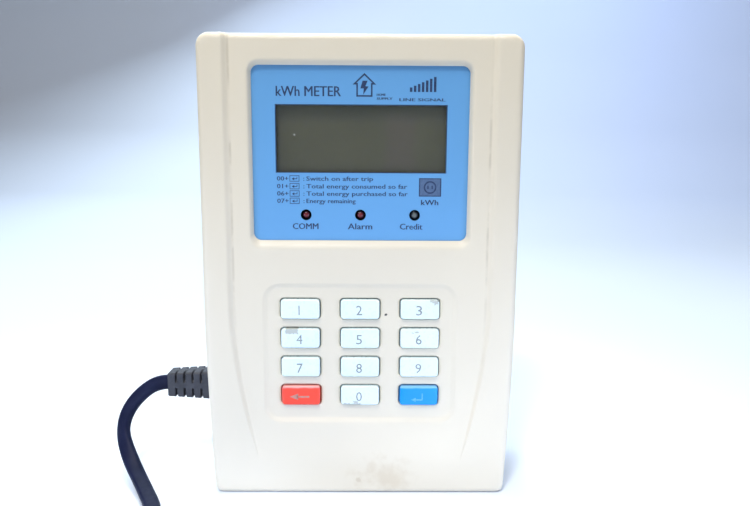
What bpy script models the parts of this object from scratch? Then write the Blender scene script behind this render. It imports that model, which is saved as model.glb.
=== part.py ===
"""Prepaid electricity meter: the keypad and display unit that a household buys its units with.

A two-part moulded case stands on its lower edge. It holds a printed window, a display, three
lamps, twelve sprung keys and a circuit board with its power supply, and a flat two-core mains
lead leaves its left side, lies in a coil and ends in a moulded two-pin plug.

Metres. +Z is up and the keys face -Y. The origin is at the middle of the case's underside.
"""

import math

import bmesh
import bpy

# The case: a box that draws in a little towards its foot.
CASE_WIDTH = 0.104
CASE_HEIGHT = 0.154
CASE_DEPTH = 0.038
FRONT = -CASE_DEPTH / 2
BACK = CASE_DEPTH / 2
SIDE_DRAW = 0.0021  # how far each side has drawn in at the floor
SIDE_CURVE_HEIGHT = 0.060  # the sides are straight above this
CORNER_RADIUS = 0.0043
EDGE_FILLET = 0.0017
WALL = 0.002
SPLIT = 0.003  # the y of the joint between the two halves
GAP = 0.0003  # between pieces that touch

# The front: side strips stand proud of a panel that runs out towards the foot.
PANEL_DROP = 0.0012
PANEL_HALF_WIDTH = 0.042
PANEL_TAPER_FROM = 0.065
PANEL_TAPER_LENGTH = 0.052
PANEL_TAPER_IN = 0.0075
STRIP_SLOPE = 1.8  # run of the slope beside a strip for each unit of its height
PANEL_Y = FRONT + PANEL_DROP

# The window, with the printed film and the clear plate behind it.
WINDOW_HALF_WIDTH = 0.0351
WINDOW_LOW = 0.0881
WINDOW_HIGH = 0.1443
WINDOW_MOUTH_HALF_WIDTH = 0.036
WINDOW_MOUTH_LOW = 0.086
WINDOW_MOUTH_HIGH = 0.1454
WINDOW_SEAT_Y = FRONT + 0.003
FILM_THICKNESS = 0.0004
PLATE_THICKNESS = 0.0014
PLATE_MARGIN = 0.0022  # how far the film and the plate reach behind the window's edge

# The display, which shows through an opening in the film.
DISPLAY_X = 0.0002
DISPLAY_Z = 0.1212
DISPLAY_OPENING = (0.0552, 0.0214)
GLASS_SIZE = (0.064, 0.030)
GLASS_THICKNESS = 0.0026
BACKLIGHT_SIZE = (0.062, 0.0255)

# The three lamps.
LAMP_XS = {"led_comm": -0.0179, "led_alarm": 0.0, "led_credit": 0.0179}
LAMP_Z = 0.0965
LAMP_RADIUS = 0.0015
LAMP_HOLE_RADIUS = 0.0018
LAMP_LEG_X = 0.001  # each leg's distance from the lamp's axis

# The keypad: four rows of three keys in a shallow recess.
KEY_NAMES = (
    ("key_1", "key_2", "key_3"),
    ("key_4", "key_5", "key_6"),
    ("key_7", "key_8", "key_9"),
    ("key_delete", "key_0", "key_enter"),
)
KEY_COLUMN_PITCH = 0.020
KEY_ROW_PITCH = 0.010
KEY_TOP_ROW_Z = 0.0652
KEY_SIZE = (0.0134, 0.0069)
KEY_CORNER = 0.0011
KEY_FACE_Y = FRONT + 0.0005
KEY_FLANGE_MARGIN = 0.001
KEY_FLANGE_THICKNESS = 0.0013
KEY_TRAVEL = 0.001
KEY_HOLE_MARGIN = 0.00045
RECESS_LOW = 0.0263
RECESS_HIGH = 0.0734
RECESS_HALF_WIDTH = 0.0314
RECESS_FLOOR_Y = PANEL_Y + 0.0008
RECESS_CORNER = 0.005
RECESS_SLOPE = 1.6
FRONT_INSIDE_Y = RECESS_FLOOR_Y + 0.0018

# The circuit board, held on four posts behind the front.
BOARD_SIZE = (0.090, 0.124)
BOARD_Z = 0.077
BOARD_FRONT_Y = -0.0068
BOARD_THICKNESS = 0.0016
BOARD_BACK_Y = BOARD_FRONT_Y + BOARD_THICKNESS
BOARD_POSTS = ((-0.035, 0.022), (0.035, 0.022), (-0.035, 0.0795), (0.035, 0.0795))

# The screws that hold the two halves together, from behind.
CASE_POSTS = {
    "case_screw_top_left": (-0.044, 0.145),
    "case_screw_top_right": (0.044, 0.145),
    "case_screw_bottom_left": (-0.044, 0.009),
    "case_screw_bottom_right": (0.044, 0.009),
}
POST_RADIUS = 0.0035
REAR_POST_RADIUS = 0.0045
BOARD_POST_RADIUS = 0.003
SCREW_HOLE_RADIUS = 0.0018
SCREW_SEAT_Y = 0.013
SCREW_SEAT_RADIUS = 0.0033

# Two keyholes in the back for a pair of wall screws.
KEYHOLE_X = 0.030
KEYHOLE_Z = 0.118
KEYHOLE_HEAD_RADIUS = 0.0045
KEYHOLE_SLOT_HALF_WIDTH = 0.0024
KEYHOLE_SLOT_LENGTH = 0.009

# The mains lead: a flat two-core cord with a moulded strain relief.
RELIEF_Y = 0.003
RELIEF_Z = 0.032
RELIEF_TIP_X = -0.0712
LEAD_RADIUS = 0.0017  # half of the flat cord's thickness
COIL_CENTRE = (-0.027, -0.0875)
COIL_OUTER_RADIUS = 0.0374
COIL_INNER_RADIUS = 0.0217
COIL_BOTTOM = 0.0012
COIL_TOP = 0.0124
LEAD_ROUTE = (
    (-0.0718, 0.0030, 0.0322),
    (-0.0748, 0.0030, 0.0318),
    (-0.0778, 0.0027, 0.0307),
    (-0.0816, 0.0020, 0.0279),
    (-0.0850, 0.0009, 0.0240),
    (-0.0869, -0.0006, 0.0199),
    (-0.0873, -0.0023, 0.0161),
    (-0.0863, -0.0045, 0.0129),
    (-0.0842, -0.0073, 0.0097),
    (-0.0812, -0.0110, 0.0067),
    (-0.0773, -0.0159, 0.0042),
    (-0.0726, -0.0227, 0.0026),
    (-0.0678, -0.0308, 0.0019),
    (-0.0647, -0.0400, 0.0019),
    (-0.0632, -0.0500, 0.0024),
    (-0.0626, -0.0600, 0.0032),
    (-0.0625, -0.0702, 0.0040),
)
# From the coil's outer turn up and round to the plug, measured from the coil's centre.
PLUG_LEAD_ROUTE = (
    (-0.0175, 0.0357, 0.0101),
    (-0.0240, 0.0346, 0.0109),
    (-0.0310, 0.0319, 0.0120),
    (-0.0370, 0.0270, 0.0134),
    (-0.0403, 0.0200, 0.0148),
    (-0.0408, 0.0125, 0.0161),
    (-0.0388, 0.0055, 0.0174),
    (-0.0345, -0.0005, 0.0185),
    (-0.0288, -0.0038, 0.0193),
    (-0.0225, -0.0050, 0.0196),
)
PLUG_CENTRE = (COIL_CENTRE[0], COIL_CENTRE[1] - 0.005)
PLUG_LENGTH = 0.040
PLUG_FACE = (0.0352, 0.0137)
PLUG_Z = 0.0196
PIN_RADIUS = 0.002
PIN_LENGTH = 0.019
PIN_SPACING = 0.0186
TIE_ANGLE = math.radians(60)
TIE_WIDTH = 0.003
TIE_THICKNESS = 0.0008


def clear_scene():
    for old in list(bpy.data.objects):
        bpy.data.objects.remove(old)


def finish(name, colour, roughness, metallic=0.0):
    """A plain material of one colour."""
    made = bpy.data.materials.new(name)
    made.use_nodes = True
    made.diffuse_color = (*colour, 1.0)
    shader = made.node_tree.nodes["Principled BSDF"]
    shader.inputs["Base Color"].default_value = (*colour, 1.0)
    shader.inputs["Roughness"].default_value = roughness
    shader.inputs["Metallic"].default_value = metallic
    return made


# Outlines: lists of (u, v) points, in order round the shape.


def arc(centre, radius, start, end, steps):
    """Points along an arc from one angle to another, in degrees."""
    angles = [math.radians(start + (end - start) * i / steps) for i in range(steps + 1)]
    return [(centre[0] + radius * math.cos(a), centre[1] + radius * math.sin(a)) for a in angles]


def circle(radius, sides=16, centre=(0.0, 0.0)):
    """A regular polygon that stands with flats, not corners, along both axes."""
    half_side = 180 / sides
    return arc(centre, radius, half_side, half_side + 360, sides)[:-1]


def rounded_rectangle(width, height, radius, centre=(0.0, 0.0), steps=3):
    u, v = width / 2 - radius, height / 2 - radius
    points = []
    for quarter, (side, top) in enumerate(((1, 1), (-1, 1), (-1, -1), (1, -1))):
        corner = (centre[0] + side * u, centre[1] + top * v)
        points += arc(corner, radius, 90 * quarter, 90 * quarter + 90, steps)
    return points


def half_width(z):
    """Half the case's width at a height."""
    drawn = max(0.0, 1 - z / SIDE_CURVE_HEIGHT)
    return CASE_WIDTH / 2 - SIDE_DRAW * drawn**1.6


def case_outline(inset):
    """The case seen from the front, as (x, z), with every edge moved in by inset."""
    radius = max(CORNER_RADIUS - inset, 0.0006)
    low, high = inset + radius, CASE_HEIGHT - inset - radius
    side_points = 8
    right = arc((half_width(low) - inset - radius, low), radius, -90, 0, 3)
    for i in range(1, side_points):
        z = low + (SIDE_CURVE_HEIGHT - low) * i / (side_points - 1)
        right.append((half_width(z) - inset, z))
    right += arc((CASE_WIDTH / 2 - inset - radius, high), radius, 0, 90, 3)
    return right + [(-x, z) for x, z in reversed(right)]


# Bodies: bmeshes, each one closed skin.


def across_x(outline, x):
    return [(x, u, v) for u, v in outline]


def across_y(outline, y):
    return [(u, y, v) for u, v in outline]


def across_z(outline, z):
    return [(u, v, z) for u, v in outline]


def loft(rings, shape=None):
    """A closed body through rings that have the same number of points, added to shape."""
    shape = shape or bmesh.new()
    rows = [[shape.verts.new(point) for point in ring] for ring in rings]
    count = len(rows[0])
    for low, high in zip(rows, rows[1:]):
        for i in range(count):
            j = (i + 1) % count
            shape.faces.new((low[i], low[j], high[j], high[i]))
    shape.faces.new(rows[0])
    shape.faces.new(rows[-1])
    return shape


def turned(profile, sides=16, centre=(0.0, 0.0), shape=None):
    """A body turned about a line along Y, from a profile of (y, radius)."""
    return loft([across_y(circle(radius, sides, centre), y) for y, radius in profile], shape)


def block(low, high, edge=0.0004, shape=None):
    """A box along Y between two corners, with rounded upright edges and a chamfered back."""
    width, height = high[0] - low[0], high[2] - low[2]
    middle = ((low[0] + high[0]) / 2, (low[2] + high[2]) / 2)
    rings = [
        across_y(rounded_rectangle(width, height, edge, middle, 1), low[1]),
        across_y(rounded_rectangle(width, height, edge, middle, 1), high[1] - edge),
        across_y(rounded_rectangle(width - 2 * edge, height - 2 * edge, edge / 2, middle, 1), high[1]),
    ]
    return loft(rings, shape)


def ready_mesh(name, shape):
    bmesh.ops.recalc_face_normals(shape, faces=shape.faces)
    bmesh.ops.triangulate(shape, faces=shape.faces)
    mesh = bpy.data.meshes.new(name)
    shape.to_mesh(mesh)
    shape.free()
    mesh.shade_smooth()
    mesh.set_sharp_from_angle(angle=math.radians(35))
    return mesh


def place(name, data, where=(0.0, 0.0, 0.0)):
    made = bpy.data.objects.new(name, data)
    made.location = where
    bpy.context.scene.collection.objects.link(made)
    return made


def piece(name, shape, look, where=(0.0, 0.0, 0.0)):
    """A named piece from a closed bmesh that is built round its own origin."""
    mesh = ready_mesh(name, shape)
    mesh.materials.append(look)
    return place(name, mesh, where)


def tool(name, shape):
    """A body that only cuts or joins others, and isn't a piece itself."""
    made = place(name, ready_mesh(name, shape))
    made.display_type = "WIRE"
    made.hide_render = True
    return made


def combine(target, other, operation="DIFFERENCE"):
    change = target.modifiers.new(other.name, "BOOLEAN")
    change.operation = operation
    change.solver = "EXACT"
    change.object = other


# The case.


def panel_drop(z):
    """How far the panel lies behind the side strips: it runs out smoothly towards the foot."""
    down = max(0.0, (PANEL_TAPER_FROM - z) / PANEL_TAPER_LENGTH)
    return PANEL_DROP * (1 - down**2.5)


def panel_cutter():
    """The shallow trough between the side strips, open at the case's top."""
    over = 0.0006  # how far the cutter stands out of the strips' face
    heights = [CASE_HEIGHT + 0.002] + [PANEL_TAPER_FROM - 0.0068 * i for i in range(9)]
    rings = []
    for z in heights:
        down = max(0.0, (PANEL_TAPER_FROM - z) / PANEL_TAPER_LENGTH)
        foot = PANEL_HALF_WIDTH - PANEL_TAPER_IN * down**1.6
        depth = panel_drop(z)
        rim = foot + STRIP_SLOPE * (depth + over)
        top, bottom = FRONT - over, FRONT + depth
        rings.append(across_z(((-rim, top), (rim, top), (foot, bottom), (-foot, bottom)), z))
    return tool("panel_cutter", loft(rings))


def window_cutter():
    """The window's opening, with sides that slope in from the panel, and the pocket behind it.

    The pocket takes the film and the clear plate from inside the case.
    """
    height = WINDOW_HIGH - WINDOW_LOW
    middle = (0, (WINDOW_LOW + WINDOW_HIGH) / 2)
    mouth_height = WINDOW_MOUTH_HIGH - WINDOW_MOUTH_LOW
    mouth_middle = (0, (WINDOW_MOUTH_LOW + WINDOW_MOUTH_HIGH) / 2)
    margin = PLATE_MARGIN + 0.0005
    inner = rounded_rectangle(2 * WINDOW_HALF_WIDTH, height, 0.0025, middle)
    mouth = rounded_rectangle(2 * WINDOW_MOUTH_HALF_WIDTH, mouth_height, 0.0036, mouth_middle)
    pocket = rounded_rectangle(2 * (WINDOW_HALF_WIDTH + margin), height + 2 * margin, 0.002, middle)
    rings = [
        across_y(mouth, FRONT - 0.001),
        across_y(mouth, PANEL_Y),
        across_y(inner, WINDOW_SEAT_Y - 0.0002),
        across_y(inner, WINDOW_SEAT_Y),
        across_y(pocket, WINDOW_SEAT_Y),
        across_y(pocket, 0),
    ]
    return tool("window_cutter", loft(rings))


def recess_cutter():
    """The keypad's shallow recess, with sloped sides."""
    middle = (0, (RECESS_LOW + RECESS_HIGH) / 2)
    over = 0.0006
    rings = []
    for y in (RECESS_FLOOR_Y, FRONT - over):
        grow = RECESS_SLOPE * (PANEL_Y - y)
        rings.append(
            across_y(
                rounded_rectangle(
                    2 * (RECESS_HALF_WIDTH + grow),
                    RECESS_HIGH - RECESS_LOW + 2 * grow,
                    RECESS_CORNER + grow,
                    middle,
                    4,
                ),
                y,
            )
        )
    return tool("recess_cutter", loft(rings))


def key_places():
    """Each key's name with the x and z of its middle."""
    return [
        (name, (column - 1) * KEY_COLUMN_PITCH, KEY_TOP_ROW_Z - row * KEY_ROW_PITCH)
        for row, names in enumerate(KEY_NAMES)
        for column, name in enumerate(names)
    ]


def key_hole_cutter():
    holes = bmesh.new()
    width, height = (side + 2 * KEY_HOLE_MARGIN for side in KEY_SIZE)
    for _, x, z in key_places():
        outline = rounded_rectangle(width, height, KEY_CORNER + KEY_HOLE_MARGIN, (x, z), 1)
        loft([across_y(outline, FRONT), across_y(outline, FRONT_INSIDE_Y + 0.001)], holes)
    return tool("key_hole_cutter", holes)


def relief_cutter():
    """The opening in the left wall for the strain relief's neck, half in each half of the case."""
    outline = rounded_rectangle(0.0096, 0.0116, 0.002, (RELIEF_Y, RELIEF_Z), 2)
    return tool("relief_cutter", loft([across_x(outline, -0.056), across_x(outline, -0.047)]))


def columns(name, places, low, high, radius, sides=12):
    """Round bars along Y, one at each place."""
    bars = bmesh.new()
    for centre in places:
        turned(((low, radius), (high, radius)), sides, centre, bars)
    return tool(name, bars)


def make_front_cover(look, relief_hole):
    """A shell whose hollow leaves posts standing for the case's screws and for the board's."""
    fillet = [math.radians(30 * i) for i in range(4)]
    rings = [
        across_y(case_outline(EDGE_FILLET * (1 - math.sin(a))), FRONT + EDGE_FILLET * (1 - math.cos(a)))
        for a in fillet
    ]
    rings.append(across_y(case_outline(0), SPLIT))
    cover = piece("front_cover", loft(rings), look)
    inside = [across_y(case_outline(WALL), y) for y in (FRONT_INSIDE_Y, SPLIT + 0.002)]
    hollow = tool("front_hollow", loft(inside))
    start = FRONT_INSIDE_Y - 0.001
    end, board_end = SPLIT - GAP, BOARD_FRONT_Y - GAP
    combine(hollow, columns("front_posts", CASE_POSTS.values(), start, end, POST_RADIUS))
    combine(hollow, columns("board_posts", BOARD_POSTS, start, board_end, BOARD_POST_RADIUS))
    combine(cover, hollow)
    combine(cover, panel_cutter())
    combine(cover, window_cutter())
    combine(cover, recess_cutter())
    combine(cover, key_hole_cutter())
    combine(cover, columns("front_bores", CASE_POSTS.values(), -0.010, end + 0.001, SCREW_HOLE_RADIUS, 8))
    combine(cover, columns("board_bores", BOARD_POSTS, -0.0135, board_end + 0.001, SCREW_HOLE_RADIUS, 8))
    combine(cover, relief_hole)


def keyhole_outline(x):
    """A round opening for a screw's head, with a slot above it for the shank."""
    edge = math.degrees(math.asin(KEYHOLE_SLOT_HALF_WIDTH / KEYHOLE_HEAD_RADIUS))
    head = arc((x, KEYHOLE_Z), KEYHOLE_HEAD_RADIUS, 90 + edge, 450 - edge, 12)
    slot = arc((x, KEYHOLE_Z + KEYHOLE_SLOT_LENGTH), KEYHOLE_SLOT_HALF_WIDTH, 0, 180, 6)
    return head + slot


def make_rear_cover(look, relief_hole):
    low, fillet = SPLIT + GAP, 0.0015
    rings = [
        across_y(case_outline(0), low),
        across_y(case_outline(0), BACK - fillet),
        across_y(case_outline(0.3 * fillet), BACK - 0.3 * fillet),
        across_y(case_outline(fillet), BACK),
    ]
    cover = piece("rear_cover", loft(rings), look)
    inside = [across_y(case_outline(WALL), y) for y in (low - 0.002, BACK - WALL)]
    hollow = tool("rear_hollow", loft(inside))
    combine(hollow, columns("rear_posts", CASE_POSTS.values(), low + 0.0003, BACK, REAR_POST_RADIUS))
    combine(cover, hollow)
    combine(cover, columns("rear_bores", CASE_POSTS.values(), 0, BACK, SCREW_HOLE_RADIUS, 8))
    seats = columns("screw_seats", CASE_POSTS.values(), SCREW_SEAT_Y, BACK + 0.001, SCREW_SEAT_RADIUS)
    combine(cover, seats)
    openings = bmesh.new()
    for x in (-KEYHOLE_X, KEYHOLE_X):
        loft([across_y(keyhole_outline(x), y) for y in (BACK - 0.004, BACK + 0.001)], openings)
    label = rounded_rectangle(0.062, 0.036, 0.002, (0, 0.068))
    loft([across_y(label, BACK - 0.0004), across_y(label, BACK + 0.001)], openings)
    combine(cover, tool("rear_openings", openings))
    combine(cover, relief_hole)


def cross_recess_cutter():
    """A cross in each screw's head, deep enough to drive it."""
    arm, half = 0.0014, 0.0004
    corner = ((arm, half), (half, half), (half, arm))
    cross = []
    for turn in range(4):
        for u, v in corner:
            for _ in range(turn):
                u, v = -v, u
            cross.append((u, v))
    crosses = bmesh.new()
    heads = [(place, SCREW_SEAT_Y + GAP) for place in CASE_POSTS.values()]
    heads += [(place, BOARD_BACK_Y + GAP) for place in BOARD_POSTS]
    for (x, z), y in heads:
        outline = [(x + u, z + v) for u, v in cross]
        loft([across_y(outline, y + 0.0009), across_y(outline, y + 0.003)], crosses)
    return tool("cross_recess_cutter", crosses)


def make_screws(look):
    """Pan-head screws for the case and for the board, each with a pointed end."""
    cross = cross_recess_cutter()
    kinds = [(name, place, SCREW_SEAT_Y + GAP, 0.022, 0.0027) for name, place in CASE_POSTS.items()]
    kinds += [
        (f"board_screw_{i + 1}", place, BOARD_BACK_Y + GAP, 0.0075, 0.0024)
        for i, place in enumerate(BOARD_POSTS)
    ]
    for name, (x, z), seat, length, head_radius in kinds:
        shank = 0.00145
        profile = (
            (-length, 0.0004),
            (-length + 0.0016, shank),
            (0.0, shank),
            (0.0, head_radius),
            (0.0010, head_radius),
            (0.0018, 0.7 * head_radius),
        )
        combine(piece(name, turned(profile, 10), look, (x, seat, z)), cross)


# The window, the display and the lamps.


def sheet(width, height, centre, low, high, radius=0.0015):
    outline = rounded_rectangle(width, height, radius, centre, 2)
    return loft([across_y(outline, low), across_y(outline, high)])


def make_window(film_look, plate_look):
    """The printed film, with openings for the display and the lamps, on its clear plate."""
    middle = (0, (WINDOW_LOW + WINDOW_HIGH) / 2)
    size = (2 * (WINDOW_HALF_WIDTH + PLATE_MARGIN), WINDOW_HIGH - WINDOW_LOW + 2 * PLATE_MARGIN)
    film_low = WINDOW_SEAT_Y + GAP
    film_high = film_low + FILM_THICKNESS
    plate_low = film_high + GAP
    plate_high = plate_low + PLATE_THICKNESS
    film = piece("printed_film", sheet(*size, middle, film_low, film_high), film_look)
    plate = piece("display_window", sheet(*size, middle, plate_low, plate_high), plate_look)
    lamp_holes = bmesh.new()
    for x in LAMP_XS.values():
        profile = ((film_low - 0.001, LAMP_HOLE_RADIUS), (plate_high + 0.001, LAMP_HOLE_RADIUS))
        turned(profile, 12, (x, LAMP_Z), lamp_holes)
    lamp_holes = tool("lamp_hole_cutter", lamp_holes)
    opening = sheet(*DISPLAY_OPENING, (DISPLAY_X, DISPLAY_Z), film_low - 0.001, film_high + 0.0001, 0.0003)
    combine(film, lamp_holes)
    combine(film, tool("display_opening_cutter", opening))
    combine(plate, lamp_holes)


def make_display(frame_look, glass_look, light_look, strip_look):
    """The liquid crystal glass in its frame, with a backlight and a contact strip behind it."""
    low, high = -0.0133, BOARD_FRONT_Y - GAP
    centre = (DISPLAY_X, DISPLAY_Z)
    frame = piece("display_frame", sheet(0.070, 0.0365, centre, low, high), frame_look)
    combine(frame, tool("frame_mouth", sheet(0.0585, 0.0245, centre, low - 0.001, low + 0.002, 0.0005)))
    combine(frame, tool("frame_pocket", sheet(0.0646, 0.0306, centre, low + 0.0007, high + 0.001, 0.0005)))
    glass_low = low + 0.0007 + GAP
    glass_high = glass_low + GLASS_THICKNESS
    piece("display_glass", sheet(*GLASS_SIZE, centre, glass_low, glass_high, 0.0004), glass_look)
    behind = glass_high + GAP
    light_centre = (DISPLAY_X, DISPLAY_Z + (GLASS_SIZE[1] - BACKLIGHT_SIZE[1]) / 2)
    piece("display_backlight", sheet(*BACKLIGHT_SIZE, light_centre, behind, high, 0.0008), light_look)
    strip_z = DISPLAY_Z - GLASS_SIZE[1] / 2 + 0.0018
    strip = sheet(0.058, 0.0024, (DISPLAY_X, strip_z), behind, high, 0.0005)
    piece("display_contact_strip", strip, strip_look)


def make_lamps(looks):
    """Round 3 mm lamps on two legs each, with their domes in the film's holes."""
    tip = WINDOW_SEAT_Y + GAP + 0.0004
    dome = [math.radians(30 * i) for i in range(4)]
    for name, x in LAMP_XS.items():
        profile = [(LAMP_RADIUS * (1 - math.cos(a)), max(LAMP_RADIUS * math.sin(a), 0.0002)) for a in dome]
        profile += [(0.0043, LAMP_RADIUS), (0.0043, 0.0019), (0.0053, 0.0019)]
        lamp = piece(name, turned(profile, 12), looks[name], (x, tip, LAMP_Z))
        legs = bmesh.new()
        for side in (-1, 1):
            centre = (x + side * LAMP_LEG_X, LAMP_Z)
            leg = rounded_rectangle(0.0005, 0.0005, 0.0001, centre, 1)
            loft([across_y(leg, tip + 0.005), across_y(leg, BOARD_FRONT_Y - GAP)], legs)
        combine(lamp, tool(name + "_legs", legs), "UNION")


# The keypad.


def make_keys(looks):
    """Hard caps with a flange behind the case that stops them falling out. Each slides along Y."""
    flange_low = FRONT_INSIDE_Y + GAP - KEY_FACE_Y
    flange_high = flange_low + KEY_FLANGE_THICKNESS
    width, height = KEY_SIZE
    edge = 0.0005

    def outline(grow):
        return rounded_rectangle(width + 2 * grow, height + 2 * grow, KEY_CORNER + grow, steps=1)

    face, side, flange = outline(-edge), outline(0), outline(KEY_FLANGE_MARGIN)
    for name, x, z in key_places():
        rings = [
            across_y(face, 0),
            across_y(side, edge),
            across_y(side, flange_low),
            across_y(flange, flange_low),
            across_y(flange, flange_high),
        ]
        look = looks.get(name, looks["key"])
        piece(name, loft(rings), look, (x, KEY_FACE_Y, z))


def make_keypad_mat(look):
    """The rubber mat: a sheet on the board with a dome under each key, drawn pressed in."""
    high = BOARD_FRONT_Y - GAP
    low = high - 0.0008
    reach = FRONT_INSIDE_Y + GAP + KEY_FLANGE_THICKNESS + KEY_TRAVEL + 0.0003
    middle = (0, KEY_TOP_ROW_Z - 1.5 * KEY_ROW_PITCH)
    mat = piece("keypad_mat", sheet(0.059, 0.044, middle, low, high, 0.003), look)
    domes = bmesh.new()
    for _, x, z in key_places():
        turned(((reach, 0.0024), (low - 0.0012, 0.0036), (low + 0.0004, 0.0042)), 8, (x, z), domes)
    combine(mat, tool("mat_domes", domes), "UNION")


# The circuit board and what is soldered to it.


def make_board(look):
    board = piece(
        "main_board", sheet(*BOARD_SIZE, (0, BOARD_Z), BOARD_FRONT_Y, BOARD_BACK_Y, 0.003), look
    )
    holes = bmesh.new()
    for centre in BOARD_POSTS:
        turned(((BOARD_FRONT_Y - 0.001, 0.0018), (BOARD_BACK_Y + 0.001, 0.0018)), 8, centre, holes)
    combine(board, tool("board_holes", holes))


def part_on_board(name, centre, size, look, edge=0.0004):
    """A moulded block behind the board, from its middle (x, z) and its size (x, y, z)."""
    low = BOARD_BACK_Y + GAP
    corner = (centre[0] - size[0] / 2, low, centre[1] - size[2] / 2)
    opposite = (centre[0] + size[0] / 2, low + size[1], centre[1] + size[2] / 2)
    return piece(name, block(corner, opposite, edge), look)


def can_on_board(name, centre, profile, look, sides=16):
    """A turned piece that stands on the board's back, from a profile of (height, radius)."""
    low = BOARD_BACK_Y + GAP
    return piece(name, turned([(low + height, radius) for height, radius in profile], sides, centre), look)


def make_transformer(core_look, winding_look):
    """A laminated core with two windows, and the winding that fills them round the middle limb."""
    x, z = 0.019, 0.036
    low = BOARD_BACK_Y + GAP
    core = part_on_board("transformer_core", (x, z), (0.030, 0.0175, 0.010), core_look, 0.0003)
    windows = bmesh.new()
    for side in (-1, 1):
        outline = rounded_rectangle(0.0062, 0.0120, 0.0003, (x + side * 0.0076, low + 0.00875), 1)
        loft([across_z(outline, z - 0.02), across_z(outline, z + 0.02)], windows)
    combine(core, tool("core_windows", windows))
    start, end = low + 0.0032, low + 0.0143
    winding = piece("transformer_winding", sheet(0.0204, 0.0206, (x, z), start, end, 0.0025), winding_look)
    limb = rounded_rectangle(0.0096, 0.0106, 0.0003, (x, z), 1)
    combine(winding, tool("limb_hole", loft([across_y(limb, start - 0.001), across_y(limb, end + 0.001)])))


def make_power_supply(looks):
    """Where the mains comes in: terminal, fuse, surge arrester, filter, rectifier and smoothing."""
    terminal = part_on_board("mains_terminal", (-0.0355, RELIEF_Z), (0.009, 0.0105, 0.012), looks["green"])
    mouths = bmesh.new()
    for side in (-1, 1):
        outline = rounded_rectangle(0.0036, 0.0036, 0.0004, (0.0006, RELIEF_Z + side * 0.0027), 1)
        loft([across_x(outline, -0.0408), across_x(outline, -0.0375)], mouths)
    combine(terminal, tool("terminal_mouths", mouths))
    fuse_y = BOARD_BACK_Y + GAP + 0.0027
    cap, body = 0.0026, 0.0023
    profile = ((0.0, cap), (0.005, cap), (0.005, body), (0.015, body), (0.015, cap), (0.020, cap))
    rings = [across_z(circle(radius, 10), height) for height, radius in profile]
    piece("mains_fuse", loft(rings), looks["ceramic"], (-0.024, fuse_y, 0.022))
    disc = circle(0.0052, 14, (BOARD_BACK_Y + GAP + 0.0055, 0.052))
    rings = [across_x(disc, x) for x in (-0.026, -0.022)]
    piece("surge_arrester", loft(rings), looks["blue"])
    part_on_board("filter_capacitor", (-0.0105, 0.028), (0.015, 0.012, 0.0085), looks["yellow"])
    part_on_board("rectifier_bridge", (-0.0105, 0.040), (0.0085, 0.0032, 0.0065), looks["black"])
    neck, side = 0.0047, 0.0050
    can = ((0, neck), (0.0012, side), (0.0020, neck), (0.0030, side), (0.0155, side), (0.016, neck))
    can_on_board("smoothing_capacitor", (-0.0105, 0.0535), can, looks["navy"])
    regulator = part_on_board("voltage_regulator", (0.006, 0.054), (0.010, 0.0044, 0.009), looks["black"])
    tab = sheet(0.010, 0.0080, (0.006, 0.0610), BOARD_BACK_Y + GAP, BOARD_BACK_Y + GAP + 0.0013, 0.0008)
    combine(regulator, tool("regulator_tab", tab), "UNION")


def make_signal_parts(looks):
    """What talks over the mains and runs the keys and the display."""
    part_on_board("coupling_capacitor", (0.022, 0.054), (0.013, 0.011, 0.006), looks["yellow"])
    part_on_board("coupling_transformer", (0.022, 0.068), (0.0125, 0.010, 0.0115), looks["black"], 0.001)
    part_on_board("modem_chip", (0.003, 0.079), (0.010, 0.0014, 0.010), looks["black"])
    part_on_board("controller_chip", (-0.020, 0.090), (0.014, 0.0014, 0.014), looks["black"])
    part_on_board("memory_chip", (-0.002, 0.096), (0.005, 0.0016, 0.004), looks["black"])
    stadium = rounded_rectangle(0.0112, 0.0046, 0.0022, (-0.020, 0.106), 4)
    low = BOARD_BACK_Y + GAP
    piece("timing_crystal", loft([across_y(stadium, low), across_y(stadium, low + 0.0036)]), looks["steel"])
    buzzer = can_on_board(
        "buzzer", (0.030, 0.090), ((0, 0.0060), (0.0070, 0.0060), (0.0076, 0.0054)), looks["black"]
    )
    sound_hole = turned(((low + 0.0050, 0.0011), (low + 0.0090, 0.0011)), 12, (0.030, 0.090))
    combine(buzzer, tool("sound_hole", sound_hole))
    cell = ((0, 0.0094), (0.0008, 0.0100), (0.0026, 0.0100), (0.0030, 0.0096), (0.0032, 0.0080))
    can_on_board("backup_battery", (0.008, 0.120), cell, looks["steel"], 20)


# The lead.


def smooth_route(points, spacing):
    """Points at even spacing along a centripetal Catmull-Rom curve through the given ones."""
    ends = [tuple(2 * a - b for a, b in zip(points[0], points[1]))]
    ends.append(tuple(2 * a - b for a, b in zip(points[-1], points[-2])))
    path = [ends[0], *points, ends[1]]
    fine = []
    for p0, p1, p2, p3 in zip(path, path[1:], path[2:], path[3:]):
        knots = [0.0]
        for a, b in ((p0, p1), (p1, p2), (p2, p3)):
            knots.append(knots[-1] + math.sqrt(math.dist(a, b)))
        for step in range(24):
            t = knots[1] + (knots[2] - knots[1]) * step / 24
            fine.append(curve_point((p0, p1, p2, p3), knots, t))
    fine.append(points[-1])
    return evenly_spaced(fine, spacing)


def curve_point(points, knots, t):
    """The point at t on one Catmull-Rom span, by repeated blending."""
    k0, k1, k2, k3 = knots
    level = points
    for spans in (((k0, k1), (k1, k2), (k2, k3)), ((k0, k2), (k1, k3)), ((k1, k2),)):
        blended = []
        for (low, high), first, second in zip(spans, level, level[1:]):
            share = (t - low) / (high - low)
            blended.append(tuple(a + (b - a) * share for a, b in zip(first, second)))
        level = blended
    return level[0]


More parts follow.
